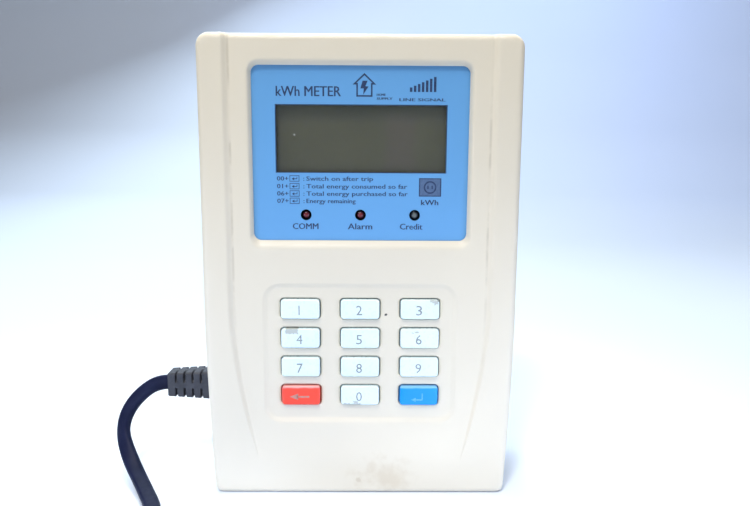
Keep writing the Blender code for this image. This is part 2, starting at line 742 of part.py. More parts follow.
def evenly_spaced(fine, spacing):
    lengths = [0.0]
    for a, b in zip(fine, fine[1:]):
        lengths.append(lengths[-1] + math.dist(a, b))
    count = max(2, round(lengths[-1] / spacing))
    found, i = [], 0
    for step in range(count + 1):
        along = lengths[-1] * step / count
        while i < len(lengths) - 2 and lengths[i + 1] < along:
            i += 1
        share = (along - lengths[i]) / (lengths[i + 1] - lengths[i])
        found.append(tuple(a + (b - a) * share for a, b in zip(fine[i], fine[i + 1])))
    return found


def tube(name, points, radius, look, rounds=2):
    """A round cord along the points, closed at both ends."""
    curve = bpy.data.curves.new(name, "CURVE")
    curve.dimensions = "3D"
    curve.bevel_depth = radius
    curve.bevel_resolution = rounds
    curve.use_fill_caps = True
    spline = curve.splines.new("POLY")
    spline.points.add(len(points) - 1)
    for spline_point, point in zip(spline.points, points):
        spline_point.co = (*point, 1.0)
    curve.materials.append(look)
    return place(name, curve)


def make_strain_relief(look):
    """A tapered sleeve with ribs outside the case, a neck in the wall and a collar inside."""
    ribs, base_x = 6, -0.0525
    pitch = (base_x - RELIEF_TIP_X) / ribs

    def section(x, size):
        outline = rounded_rectangle(size[0], size[1], 0.0016, (RELIEF_Y, RELIEF_Z), 1)
        return across_x(outline, x)

    rings = [section(x, (0.0120, 0.0140)) for x in (-0.0455, -0.0485)]
    rings += [section(x, (0.0088, 0.0108)) for x in (-0.0485, base_x)]
    for i in range(ribs):
        shrink = 0.0003 * i
        rib = (0.0106 - shrink, 0.0122 - shrink)
        groove = (0.0076 - shrink, 0.0100 - shrink)
        start = base_x - i * pitch
        rings += [section(start - share * pitch, rib) for share in (0, 0.68)]
        if i < ribs - 1:
            rings += [section(start - share * pitch, groove) for share in (0.68, 1.0)]
        else:
            rings += [section(start - pitch, (rib[0] - 0.0008, rib[1] - 0.0008))]
    piece("strain_relief", loft(rings), look)


def make_lead(looks):
    """The two wires inside the case, the lead, its coil and the short end to the plug."""
    for name, side in (("live_wire", 1), ("neutral_wire", -1)):
        route = (
            (-0.0452, RELIEF_Y, RELIEF_Z + side * 0.0014),
            (-0.0435, RELIEF_Y - 0.0004, RELIEF_Z + side * 0.0018),
            (-0.0415, RELIEF_Y - 0.0018, RELIEF_Z + side * 0.0025),
            (-0.0395, 0.0006, RELIEF_Z + side * 0.0027),
            (-0.0380, 0.0006, RELIEF_Z + side * 0.0027),
        )
        tube(name, smooth_route(route, 0.0018), 0.0010, looks[name])
    tube("mains_lead", smooth_route(LEAD_ROUTE, 0.0048), LEAD_RADIUS, looks["lead"])
    x, y = COIL_CENTRE
    route = [(x + u, y + v, w) for u, v, w in PLUG_LEAD_ROUTE]
    tube("plug_lead", smooth_route(route, 0.0048), LEAD_RADIUS, looks["lead"])


def make_coil(look):
    """The rest of the lead, wound flat side in: one turned ring of the coil's outer shape."""
    edge = 0.0016
    inner, outer, low, high = COIL_INNER_RADIUS, COIL_OUTER_RADIUS, COIL_BOTTOM, COIL_TOP
    section = rounded_rectangle(outer - inner, high - low, edge, ((inner + outer) / 2, (low + high) / 2), 1)
    shape = bmesh.new()
    steps = 32
    rows = []
    for i in range(steps):
        angle = 2 * math.pi * i / steps
        rows.append([shape.verts.new((r * math.cos(angle), r * math.sin(angle), z)) for r, z in section])
    count = len(section)
    for i in range(steps):
        row, following = rows[i], rows[(i + 1) % steps]
        for j in range(count):
            k = (j + 1) % count
            shape.faces.new((row[j], row[k], following[k], following[j]))
    piece("cord_coil", shape, look, (*COIL_CENTRE, 0.0))


def make_tie(look):
    """A flat tie round the coil's turns, with a raised head on top."""
    inner, outer = COIL_INNER_RADIUS - GAP, COIL_OUTER_RADIUS + GAP
    low, high = COIL_BOTTOM - GAP, COIL_TOP + GAP
    middle, centre_z = (inner + outer) / 2, (low + high) / 2

    def band(grow, half):
        outline = rounded_rectangle(
            outer - inner + 2 * grow, high - low + 2 * grow, 0.0006 + grow, (middle, centre_z), 2
        )
        return [across_y(outline, y) for y in (-half, half)]

    tie = piece("cord_tie", loft(band(TIE_THICKNESS, TIE_WIDTH / 2)), look, (*COIL_CENTRE, 0.0))
    tie.rotation_euler[2] = TIE_ANGLE
    opening = tool("tie_opening", loft(band(0, TIE_WIDTH)))
    head = rounded_rectangle(0.0050, 0.0044, 0.0006, (middle, 0), 1)
    head = tool("tie_head", loft([across_z(head, high + 0.0003), across_z(head, high + 0.0026)]))
    for part in (opening, head):
        part.location = tie.location
        part.rotation_euler[2] = TIE_ANGLE
    combine(tie, opening)
    combine(tie, head, "UNION")


def make_plug(body_look, pin_look):
    """A moulded plug that narrows to the lead, lying on the coil, with two round pins."""
    x, y = PLUG_CENTRE
    half = PLUG_LENGTH / 2
    stations = (
        (-half + 0.0005, 0.0088, 0.0066, 0.0028),
        (-half + 0.0080, 0.0112, 0.0086, 0.0036),
        (-half + 0.0160, 0.0215, 0.0116, 0.0048),
        (-half + 0.0240, 0.0310, 0.0130, 0.0058),
        (half - 0.0060, 0.0345, 0.0136, 0.0062),
        (half - 0.0010, *PLUG_FACE, 0.0063),
        (half, PLUG_FACE[0] - 0.0016, PLUG_FACE[1] - 0.0016, 0.0055),
    )
    rings = [
        across_x(rounded_rectangle(width, height, radius, steps=2), along)
        for along, width, height, radius in stations
    ]
    piece("plug_body", loft(rings), body_look, (x, y, PLUG_Z))
    profile = ((0.0, PIN_RADIUS), (PIN_LENGTH - 0.0014, PIN_RADIUS), (PIN_LENGTH, 0.0012))
    for name, side in (("plug_pin_live", 1), ("plug_pin_neutral", -1)):
        rings = [across_x(circle(radius, 12), along) for along, radius in profile]
        where = (x + half + GAP, y + side * PIN_SPACING / 2, PLUG_Z)
        piece(name, loft(rings), pin_look, where)


def main():
    clear_scene()
    cream = finish("case_cream", (0.76, 0.72, 0.62), 0.45)
    white = finish("key_white", (0.83, 0.84, 0.84), 0.4)
    red = finish("key_red", (0.80, 0.07, 0.05), 0.4)
    blue = finish("key_blue", (0.01, 0.36, 0.80), 0.4)
    grey_rubber = finish("mat_grey", (0.35, 0.36, 0.36), 0.7)
    film_blue = finish("film_blue", (0.15, 0.40, 0.70), 0.35)
    clear = finish("clear_plate", (0.85, 0.88, 0.88), 0.05)
    glass = finish("display_glass", (0.08, 0.08, 0.05), 0.1)
    glow = finish("backlight_white", (0.85, 0.88, 0.80), 0.4)
    board_green = finish("board_green", (0.02, 0.20, 0.07), 0.4)
    steel = finish("screw_steel", (0.60, 0.60, 0.60), 0.3, 1.0)
    iron = finish("core_iron", (0.30, 0.30, 0.31), 0.5, 1.0)
    tape = finish("winding_tape", (0.75, 0.60, 0.08), 0.5)
    black = finish("moulded_black", (0.015, 0.016, 0.022), 0.5)
    lead_black = finish("lead_black", (0.020, 0.022, 0.035), 0.45)
    nickel = finish("pin_nickel", (0.72, 0.70, 0.66), 0.25, 1.0)
    lamp_red = finish("lamp_red", (0.30, 0.01, 0.01), 0.15)
    lamp_grey = finish("lamp_grey", (0.30, 0.34, 0.30), 0.15)
    copper = finish("wire_brown", (0.20, 0.08, 0.03), 0.5)
    wire_blue = finish("wire_blue", (0.03, 0.12, 0.45), 0.5)

    relief_hole = relief_cutter()
    make_front_cover(cream, relief_hole)
    make_rear_cover(cream, relief_hole)
    make_screws(steel)
    make_window(film_blue, clear)
    make_display(black, glass, glow, grey_rubber)
    make_lamps({"led_comm": lamp_red, "led_alarm": lamp_red, "led_credit": lamp_grey})
    make_keys({"key": white, "key_delete": red, "key_enter": blue})
    make_keypad_mat(grey_rubber)
    make_board(board_green)
    make_transformer(iron, tape)
    supply = {
        "green": finish("terminal_green", (0.05, 0.35, 0.15), 0.5),
        "ceramic": finish("fuse_ceramic", (0.80, 0.78, 0.72), 0.5),
        "blue": finish("arrester_blue", (0.05, 0.15, 0.55), 0.4),
        "yellow": finish("capacitor_yellow", (0.75, 0.60, 0.10), 0.4),
        "navy": finish("capacitor_navy", (0.02, 0.04, 0.15), 0.35),
        "black": black,
        "steel": steel,
    }
    make_power_supply(supply)
    make_signal_parts(supply)
    make_strain_relief(black)
    make_lead({"live_wire": copper, "neutral_wire": wire_blue, "lead": lead_black})
    make_coil(lead_black)
    make_tie(black)
    make_plug(black, nickel)


main()
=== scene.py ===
"""Prepaid electricity meter: the keypad and display unit that stands in the home, with its lead."""

import bmesh
import bpy
import numpy as np
from mathutils import Matrix, Vector


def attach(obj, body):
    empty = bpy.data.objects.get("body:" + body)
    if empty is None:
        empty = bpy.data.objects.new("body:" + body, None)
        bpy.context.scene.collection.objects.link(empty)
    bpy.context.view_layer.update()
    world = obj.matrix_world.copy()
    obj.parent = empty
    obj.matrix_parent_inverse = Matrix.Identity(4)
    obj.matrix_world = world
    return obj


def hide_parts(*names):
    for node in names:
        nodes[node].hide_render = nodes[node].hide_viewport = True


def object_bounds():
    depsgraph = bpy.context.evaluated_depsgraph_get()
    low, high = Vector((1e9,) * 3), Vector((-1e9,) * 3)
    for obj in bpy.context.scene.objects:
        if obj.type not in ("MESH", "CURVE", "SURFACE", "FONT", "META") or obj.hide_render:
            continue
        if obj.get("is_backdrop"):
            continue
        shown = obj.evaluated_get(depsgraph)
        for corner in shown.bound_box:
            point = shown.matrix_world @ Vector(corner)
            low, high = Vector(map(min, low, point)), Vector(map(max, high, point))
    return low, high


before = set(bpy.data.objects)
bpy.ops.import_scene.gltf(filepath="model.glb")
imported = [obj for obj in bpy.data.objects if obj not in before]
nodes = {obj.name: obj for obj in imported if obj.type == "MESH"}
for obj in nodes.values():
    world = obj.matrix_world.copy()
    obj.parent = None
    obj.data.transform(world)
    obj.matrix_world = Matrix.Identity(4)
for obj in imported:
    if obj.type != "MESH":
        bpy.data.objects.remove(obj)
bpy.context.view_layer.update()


# ---- The camera -------------------------------------------------------------------------------
# It stands about 20 cm in front of the keys, above the middle of the case, and looks slightly down.

CAMERA_AT = (0.0031, -0.2210, 0.1139)
LOOKS_DOWN, LOOKS_RIGHT, LEANS = 0.1452, 0.0087, 0.0056  # radians

ahead = Vector((
    np.sin(LOOKS_RIGHT) * np.cos(LOOKS_DOWN),
    np.cos(LOOKS_RIGHT) * np.cos(LOOKS_DOWN),
    -np.sin(LOOKS_DOWN),
))
level = Vector((np.cos(LOOKS_RIGHT), -np.sin(LOOKS_RIGHT), 0.0))
upright = level.cross(ahead)
across = level * np.cos(LEANS) + upright * np.sin(LEANS)
upward = upright * np.cos(LEANS) - level * np.sin(LEANS)
lens = bpy.data.cameras.new("front_view")
lens.sensor_width = 36.0
lens.lens = 29.90
lens.clip_start = 0.01
camera = bpy.data.objects.new("front_view", lens)
camera.matrix_world = Matrix((
    (across.x, upward.x, -ahead.x, CAMERA_AT[0]),
    (across.y, upward.y, -ahead.y, CAMERA_AT[1]),
    (across.z, upward.z, -ahead.z, CAMERA_AT[2]),
    (0.0, 0.0, 0.0, 1.0),
))
bpy.context.scene.collection.objects.link(camera)
bpy.context.scene.camera = camera


# ---- The mains lead ---------------------------------------------------------------------------
# A flat two-core cord in a smooth dark PVC sheath, 1.5 m long. It leaves the case's left side,
# drops to the floor, and its spare length is wound on edge in two layers, with the plug on top.

LEAD_WIDTH, LEAD_THICKNESS, LEAD_LENGTH = 0.0054, 0.0033, 1.5
COIL_MIDDLE = (-0.027, -0.0875)
# Each row is a point on the lead's middle line and the way its flat side faces there.
LEAD_DROP = np.array([
    (-0.0660, 0.0030, 0.0322, 0.00, -1.00, 0.05),
    (-0.0690, 0.0030, 0.0322, 0.00, -1.00, 0.05),
    (-0.0718, 0.0030, 0.0322, 0.00, -1.00, 0.10),
    (-0.0748, 0.0030, 0.0318, -0.05, -1.00, 0.30),
    (-0.0778, 0.0027, 0.0307, -0.15, -1.00, 0.45),
    (-0.0816, 0.0020, 0.0279, -0.25, -1.00, 0.40),
    (-0.0850, 0.0009, 0.0240, -0.35, -1.00, 0.20),
    (-0.0869, -0.0006, 0.0199, -0.45, -1.00, 0.10),
    (-0.0873, -0.0023, 0.0161, -0.50, -1.00, 0.15),
    (-0.0863, -0.0045, 0.0129, -0.35, -0.90, 0.35),
    (-0.0842, -0.0073, 0.0097, -0.10, -0.75, 0.60),
    (-0.0812, -0.0110, 0.0067, 0.15, -0.50, 0.80),
    (-0.0773, -0.0159, 0.0042, 0.25, -0.25, 0.95),
    (-0.0726, -0.0227, 0.0026, 0.20, -0.08, 1.00),
    (-0.0678, -0.0308, 0.0019, 0.05, 0.00, 1.00),
    (-0.0647, -0.0400, 0.0019, -0.10, 0.00, 1.00),
    (-0.0632, -0.0500, 0.0024, -0.45, 0.00, 0.85),
    (-0.0626, -0.0600, 0.0032, -0.85, 0.00, 0.45),
    (-0.0625, -0.0702, 0.0040, -1.00, 0.00, 0.10),
])
# From the coil's last turn up and round to the plug, measured from the coil's middle.
PLUG_RUN = np.array([
    (-0.0175, 0.0357, 0.0101, -0.40, 0.90, 0.10),
    (-0.0240, 0.0346, 0.0109, -0.50, 0.80, 0.20),
    (-0.0310, 0.0319, 0.0120, -0.65, 0.60, 0.35),
    (-0.0370, 0.0270, 0.0134, -0.75, 0.35, 0.50),
    (-0.0403, 0.0200, 0.0148, -0.70, 0.10, 0.70),
    (-0.0408, 0.0125, 0.0161, -0.45, -0.05, 0.90),
    (-0.0388, 0.0055, 0.0174, -0.20, -0.10, 1.00),
    (-0.0345, -0.0005, 0.0185, 0.00, 0.00, 1.00),
    (-0.0288, -0.0038, 0.0193, 0.00, 0.00, 1.00),
    (-0.0225, -0.0050, 0.0196, 0.00, 0.00, 1.00),
    (-0.0150, -0.0050, 0.0196, 0.00, 0.00, 1.00),
])


COIL_TURNS, CLIMB_START, CLIMB_END = 6.76, 3.2, 3.6  # the climb to the upper layer, in turns
COIL_OUTER, COIL_INNER, COIL_PITCH = 0.0355, 0.02335, 0.0034
COIL_LOW_Z, COIL_RISE = 0.0040, 0.0056


def smooth_step(share):
    """Eases a share from 0 to 1, level at both ends: its square times three less twice itself."""
    return share * share * (3 - 2 * share)


def coil_rows():
    """The coil's middle line, with the way out from its axis as the flat side's direction.

    The radius falls evenly through the lower layer's turns and grows evenly through the upper
    layer's. The height follows a smooth step while the innermost turn climbs between the layers.
    """
    turn = np.linspace(0.08, COIL_TURNS, 320)
    angle = np.pi + 2 * np.pi * turn
    lower = np.maximum(COIL_OUTER - COIL_PITCH * turn, COIL_INNER)
    upper = COIL_INNER + COIL_PITCH * (turn - CLIMB_END)
    radius = np.where(turn < CLIMB_END, lower, upper)
    climbed = smooth_step(np.clip((turn - CLIMB_START) / (CLIMB_END - CLIMB_START), 0, 1))
    height = COIL_LOW_Z + COIL_RISE * climbed
    out = np.stack((np.cos(angle), np.sin(angle), 0 * angle), axis=1)
    centre = np.array((*COIL_MIDDLE, 0.0))
    line = centre + out * radius[:, None] + np.array((0, 0, 1)) * height[:, None]
    return np.hstack((line, out))


def smooth_path(rows, spacing):
    """Centripetal Catmull-Rom curves through the rows, spaced evenly by their first three columns.

    Each span blends its four nearest rows in three rounds, with knots that grow as the square
    root of the distance between the rows.
    """
    rows = np.vstack((2 * rows[:1] - rows[1:2], rows, 2 * rows[-1:] - rows[-2:-1]))
    gaps = np.sqrt(np.linalg.norm(np.diff(rows[:, :3], axis=0), axis=1))
    k1 = gaps[:-2, None, None]
    k2 = k1 + gaps[1:-1, None, None]
    k3 = k2 + gaps[2:, None, None]
    p0, p1, p2, p3 = (rows[i : len(rows) - 3 + i, None] for i in range(4))
    t = k1 + (k2 - k1) * np.linspace(0, 1, 12, endpoint=False)[None, :, None]
    a = p0 * (k1 - t) / k1 + p1 * t / k1
    b = p1 * (k2 - t) / (k2 - k1) + p2 * (t - k1) / (k2 - k1)
    c = p2 * (k3 - t) / (k3 - k2) + p3 * (t - k2) / (k3 - k2)
    ab = a * (k2 - t) / k2 + b * t / k2
    bc = b * (k3 - t) / (k3 - k1) + c * (t - k1) / (k3 - k1)
    fine = (ab * (k2 - t) / (k2 - k1) + bc * (t - k1) / (k2 - k1)).reshape(-1, rows.shape[1])
    fine = np.vstack((fine, rows[-2:-1]))
    steps = np.linalg.norm(np.diff(fine[:, :3], axis=0), axis=1)
    along = np.concatenate(([0.0], np.cumsum(steps)))
    even = np.linspace(0, along[-1], int(along[-1] / spacing) + 1)
    return np.stack([np.interp(even, along, column) for column in fine.T], axis=1)


def unit(vectors):
    """The vectors, each divided by its length."""
    return vectors / np.linalg.norm(vectors, axis=-1, keepdims=True)


def swept(path, profile):
    """A profile carried along a path: point + u * sideways + v * (the way the flat side faces)."""
    line = path[:, :3]
    heading = unit(np.gradient(line, axis=0))
    facing = path[:, 3:] - heading * np.sum(path[:, 3:] * heading, axis=1, keepdims=True)
    facing = unit(facing)
    sideways = np.cross(heading, facing)
    u, v = profile[None, :, 0, None], profile[None, :, 1, None]
    return line[:, None] + u * sideways[:, None] + v * facing[:, None]


def flat_cord_profile(width, thickness, count=26):
    """Two round cores side by side under one sheath: a stadium with a slight waist in its middle."""
    angle = np.linspace(0, 2 * np.pi, count + 1)
    radius = thickness / 2
    u = np.clip(1.6 * np.cos(angle), -1, 1) * (width / 2 - radius) + radius * np.cos(angle)
    v = radius * np.sin(angle) * (1 - 0.07 * np.exp(-((u / 0.0006) ** 2)))
    return np.stack((u, v), axis=1)


def drawn_together(grid):
    """The grid with its first and last rows each closed by a row that lies in that row's middle."""
    first = np.repeat(grid[:1].mean(axis=1, keepdims=True), grid.shape[1], axis=1)
    last = np.repeat(grid[-1:].mean(axis=1, keepdims=True), grid.shape[1], axis=1)
    return np.concatenate((first, grid, last))


def build(name, grids, look, body="case", stands_for=()):
    """One closed mesh from grids of points: neighbours in a grid share faces, and grids that meet are
    welded. The piece rides on a body and stands for the CAD nodes named."""
    points = np.concatenate([grid.reshape(-1, 3) for grid in grids])
    corners, start = [], 0
    for grid in grids:
        index = start + np.arange(grid.shape[0] * grid.shape[1]).reshape(grid.shape[:2])
        around = (index[:-1, :-1], index[1:, :-1], index[1:, 1:], index[:-1, 1:])
        corners.append(np.stack(around, axis=-1).reshape(-1))
        start += index.size
    corners = np.concatenate(corners)
    mesh = bpy.data.meshes.new(name)
    mesh.vertices.add(len(points))
    mesh.vertices.foreach_set("co", points.astype(np.float32).ravel())
    mesh.loops.add(len(corners))
    mesh.loops.foreach_set("vertex_index", corners.astype(np.int32))
    mesh.polygons.add(len(corners) // 4)
    mesh.polygons.foreach_set("loop_start", np.arange(0, len(corners), 4, dtype=np.int32))
    mesh.update(calc_edges=True)
    shape = bmesh.new()
    shape.from_mesh(mesh)
    bmesh.ops.remove_doubles(shape, verts=shape.verts, dist=1e-6)
    bmesh.ops.dissolve_degenerate(shape, edges=shape.edges, dist=1e-7)
    bmesh.ops.recalc_face_normals(shape, faces=shape.faces)
    shape.to_mesh(mesh)
    shape.free()
    return place(name, mesh, look, body, stands_for)


def place(name, mesh, look, body, stands_for=()):
    """Shades a mesh smooth up to 38 degrees, gives it its look and sets it on its body."""
    mesh.shade_smooth()
    mesh.set_sharp_from_angle(angle=np.radians(38))
    mesh.materials.clear()
    mesh.materials.append(look)
    piece = bpy.data.objects.new(name, mesh)
    bpy.context.scene.collection.objects.link(piece)
    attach(piece, body)
    if stands_for:
        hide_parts(*stands_for)
    return piece


def new_look(name, colour, **sockets):
    """A surface of one colour, and its node tree. The other sockets are named as their labels are."""
    look = bpy.data.materials.new(name)
    look.use_nodes = True
    look.diffuse_color = (*colour, 1.0)
    shader = look.node_tree.nodes["Principled BSDF"]
    shader.inputs["Base Color"].default_value = (*colour, 1.0)
    for label, value in sockets.items():
        shader.inputs[label.replace("_", " ")].default_value = value
    return look, look.node_tree


def grain(tree, scale, detail=3.0, stretch=(1, 1, 1)):
    """Noise over the piece's own metres; stretch squeezes it along an axis."""
    place_in = tree.nodes.new("ShaderNodeTexCoord")
    mapping = tree.nodes.new("ShaderNodeMapping")
    mapping.inputs["Scale"].default_value = stretch
    noise = tree.nodes.new("ShaderNodeTexNoise")
    noise.inputs["Scale"].default_value = scale
    noise.inputs["Detail"].default_value = detail
    tree.links.new(place_in.outputs["Object"], mapping.inputs["Vector"])
    tree.links.new(mapping.outputs["Vector"], noise.inputs["Vector"])
    return noise.outputs["Fac"]


def ranged(tree, value, low, high, start=0.3, end=0.7, smooth=False):
    """A value between start and end, spread from low to high and held beyond them."""
    spread = tree.nodes.new("ShaderNodeMapRange")
    spread.interpolation_type = "SMOOTHSTEP" if smooth else "LINEAR"
    spread.inputs["From Min"].default_value = start
    spread.inputs["From Max"].default_value = end
    spread.inputs["To Min"].default_value = low
    spread.inputs["To Max"].default_value = high
    tree.links.new(value, spread.inputs["Value"])
    return spread.outputs["Result"]


def mixed(tree, factor, first, second):
    """A colour between two; each is three numbers or another node's output."""
    mix = tree.nodes.new("ShaderNodeMix")
    mix.data_type = "RGBA"
    tree.links.new(factor, mix.inputs["Factor"])
    for socket, colour in ((mix.inputs[6], first), (mix.inputs[7], second)):
        if isinstance(colour, bpy.types.NodeSocket):
            tree.links.new(colour, socket)
        else:
            socket.default_value = (*colour, 1.0)
    return mix.outputs[2]


def reckon(tree, operation, first, second=None):
    """One step of arithmetic on a node's output and a number or another output."""
    node = tree.nodes.new("ShaderNodeMath")
    node.operation = operation
    for socket, value in zip(node.inputs, (first, second)):
        if isinstance(value, bpy.types.NodeSocket):
            tree.links.new(value, socket)
        elif value is not None:
            socket.default_value = value
    return node.outputs[0]


def wire_up(tree, colour=None, roughness=None, height=None, strength=0.3, distance=0.0001):
    """Leads a colour, a roughness and a height to the shader."""
    shader = tree.nodes["Principled BSDF"]
    if colour is not None:
        tree.links.new(colour, shader.inputs["Base Color"])
    if roughness is not None:
        tree.links.new(roughness, shader.inputs["Roughness"])
    if height is not None:
        bump = tree.nodes.new("ShaderNodeBump")
        bump.inputs["Strength"].default_value = strength
        bump.inputs["Distance"].default_value = distance
        tree.links.new(height, bump.inputs["Height"])
        tree.links.new(bump.outputs["Normal"], shader.inputs["Normal"])


def two_tone(name, colour, tones, cloud, gloss, rough, bumps=None, **sockets):
    """A look whose colour wanders between two tones, and its roughness from one value to another.
    cloud, gloss and bumps are the noises behind colour, roughness and height; bumps also has the
    bump's strength and its height in metres."""
    look, tree = new_look(name, colour, **sockets)
    height = (grain(tree, *bumps[0]), *bumps[1:]) if bumps else ()
    clouded = mixed(tree, ranged(tree, grain(tree, *cloud), 0, 1), *tones)
    wire_up(tree, clouded, ranged(tree, grain(tree, *gloss), *rough), *height)
    return look


sheath = two_tone(
    "dark_pvc_sheath", (0.014, 0.017, 0.042), ((0.006, 0.008, 0.026), (0.011, 0.014, 0.040)),
    (160,), (700, 4), (0.34, 0.52), ((2500, 3), 0.12, 0.00004), Roughness=0.42, Specular_IOR_Level=0.10,
)

coil = coil_rows()
plug_run = PLUG_RUN.copy()
plug_run[:, :2] += COIL_MIDDLE
lead_path = smooth_path(np.vstack((LEAD_DROP, coil, plug_run)), 0.0012)
lead_skin = drawn_together(swept(lead_path, flat_cord_profile(LEAD_WIDTH, LEAD_THICKNESS)))
lead = build(
    "flat_mains_lead", [lead_skin], sheath,
    stands_for=("mains_lead", "cord_coil", "plug_lead"),
)


# ---- The strain relief ------------------------------------------------------------------------
# A black PVC sleeve moulded on to the lead. Its neck is clamped in the case's left wall. Outside
# it has a plain end block and five ribs, with a web along the middle of each side that joins them.

RELIEF_MIDDLE = (0.003, 0.0322)  # y and z
RELIEF_ROOT_X, RELIEF_TIP_X, RELIEF_RIBS = -0.0525, -0.0712, 6
RELIEF_SIZE, RELIEF_CORNER = (0.0106, 0.0122), 0.0022


def rounded(width, height, radius, counts, corner, centre=(0.0, 0.0)):
    """A rounded rectangle as a spine and the outward normal at each of its points: spine + normal *
    (radius + growth) is the outline at any growth. It starts at the middle of the lower left
    corner and goes round once. counts are the steps along a lower and an upright side, and corner
    is how many of them each half corner takes."""
    u, v = width / 2 - radius, height / 2 - radius
    spine, angle = [], []
    for quarter, (steps, side, off) in enumerate(
        ((counts[0], u, v), (counts[1], v, u), (counts[0], u, v), (counts[1], v, u))
    ):
        step = np.arange(steps)
        slide = np.interp(step, (corner, steps - corner), (-side, side))
        if steps == 2 * corner:
            slide = np.where(step < corner, -side, side)
        turn = np.interp(step, (0, corner, steps - corner, steps), (-45, 0, 0, 45))
        heading = np.radians(90 * quarter)
        along = np.array((np.cos(heading), np.sin(heading)))
        out = np.array((np.sin(heading), -np.cos(heading)))
        spine.append(slide[:, None] * along + off * out)
        angle.append(turn + 90 * quarter - 90)
    spine, angle = np.concatenate(spine), np.radians(np.concatenate(angle))
    normal = np.stack((np.cos(angle), np.sin(angle)), axis=1)
    spine = np.vstack((spine, spine[:1])) + centre
    return spine, np.vstack((normal, normal[:1]))


def ribbed(share):
    """How deep a groove is at a share of the rib pitch: flat ribs with rounded shoulders."""
    return smooth_step(np.clip((np.abs(share - 0.5) - 0.33) / 0.13, 0, 1))


def relief_rows(x, swell, growth):
    """The relief's outline at each x, swollen about its middle and then grown outwards."""
    outlines = swell[:, None, None] * spine + growth[..., None] * normal
    rows = np.empty((*outlines.shape[:2], 3))
    rows[..., 0] = x[:, None]
    rows[..., 1:] = RELIEF_MIDDLE + outlines
    return rows


spine, normal = rounded(*RELIEF_SIZE, RELIEF_CORNER, (16, 16), 4)
stations = np.linspace(0, RELIEF_RIBS, 121)
along_x = RELIEF_ROOT_X + (RELIEF_TIP_X - RELIEF_ROOT_X) * stations / RELIEF_RIBS
groove = np.where((stations < 0.3) | (stations > RELIEF_RIBS - 0.6), 0, ribbed((stations + 0.1) % 1.0))
taper = -0.00015 * stations
# The web keeps the grooves out of the middle of the front, back, top and bottom.
web = np.abs(spine + RELIEF_CORNER * normal).min(axis=1)
clear = np.clip((web - 0.0011) / 0.0007, 0, 1)
inset = 0.0009 * groove[:, None] * clear[None, :]
end_round = 0.0007 * (1 - np.sqrt(1 - np.clip((stations - 5.8) / 0.2, 0, 1) ** 2))
growth = 0.0016 + taper[:, None] - inset - end_round[:, None]
sleeve = relief_rows(along_x, 1 + 60 * taper, growth)
neck_x = np.array((-0.0455, -0.0457, -0.0483, -0.0485, -0.0487, -0.0524))
neck_grow = np.array((0.0026, 0.0029, 0.0029, 0.0026, 0.0013, 0.0013))
neck = relief_rows(neck_x, np.ones(len(neck_x)), neck_grow[:, None])

black_pvc = two_tone(
    "black_moulded_pvc", (0.020, 0.021, 0.030), ((0.014, 0.015, 0.022), (0.034, 0.035, 0.046)),
    (220,), (900, 4), (0.45, 0.68), ((3500, 4), 0.25, 0.00006), Roughness=0.55,
)
build(
    "ribbed_strain_relief", [drawn_together(np.concatenate((neck, sleeve)))], black_pvc,
    stands_for=("strain_relief",),
)


# ---- The plug ---------------------------------------------------------------------------------
# A flat two-pin plug, moulded on to the lead in the same PVC: a waisted grip, a wide flat body
# and two nickel-plated brass pins whose inner halves are sleeved.

PLUG_AT = (-0.027, -0.0925, 0.0196)
PLUG_LENGTH, PIN_SPACING, PIN_RADIUS, PIN_LENGTH = 0.040, 0.0186, 0.002, 0.019
GRIP_HALF_WIDTH, GRIP_HALF_HEIGHT, BODY_WIDER, BODY_HIGHER = 0.0043, 0.0034, 0.0133, 0.0034

station = np.linspace(0, 1, 81)
reach = -PLUG_LENGTH / 2 + 0.0005 + (PLUG_LENGTH - 0.0005) * station
# Width and height swell from the grip to the body as smooth steps, and both ends are rounded off.
body_step = smooth_step(np.clip((station - 0.14) / 0.52, 0, 1))
half_wide = GRIP_HALF_WIDTH + BODY_WIDER * body_step
half_wide = half_wide + 0.0006 * np.sin(np.pi * np.clip(station / 0.3, 0, 1))
half_high = GRIP_HALF_HEIGHT + BODY_HIGHER * body_step
nose = 0.0012 * (1 - np.sqrt(1 - np.clip((station - 0.965) / 0.035, 0, 1) ** 2))
tail = 0.0009 * (1 - np.sqrt(1 - np.clip((0.03 - station) / 0.03, 0, 1) ** 2))
ridge = 0.00028 * np.cos(2 * np.pi * station / 0.045) * np.clip(1 - np.abs(station - 0.19) / 0.13, 0, 1)
half_wide = half_wide - nose - tail + ridge
half_high = half_high - nose - tail + ridge
angle = np.linspace(0, 2 * np.pi, 73)
power = 2 + 1.6 * body_step[:, None]
round_u = np.sign(np.cos(angle)) * np.abs(np.cos(angle)) ** (2 / power)
round_v = np.sign(np.sin(angle)) * np.abs(np.sin(angle)) ** (2 / power)
plug_skin = np.empty((len(station), len(angle), 3))
plug_skin[..., 0] = PLUG_AT[0] + reach[:, None]
plug_skin[..., 1] = PLUG_AT[1] + half_wide[:, None] * round_u
plug_skin[..., 2] = PLUG_AT[2] + half_high[:, None] * round_v
plug = build(
    "moulded_plug", [drawn_together(plug_skin)], black_pvc,
    stands_for=("plug_body",),
)

nickel = two_tone(
    "nickel_plate", (0.66, 0.64, 0.60), ((0.60, 0.58, 0.54), (0.72, 0.70, 0.66)),
    (400,), (900, 4, (0.08, 1, 1)), (0.18, 0.36), ((2200, 3, (0.05, 1, 1)), 0.15, 0.00003),
    Metallic=1.0, Roughness=0.24,
)


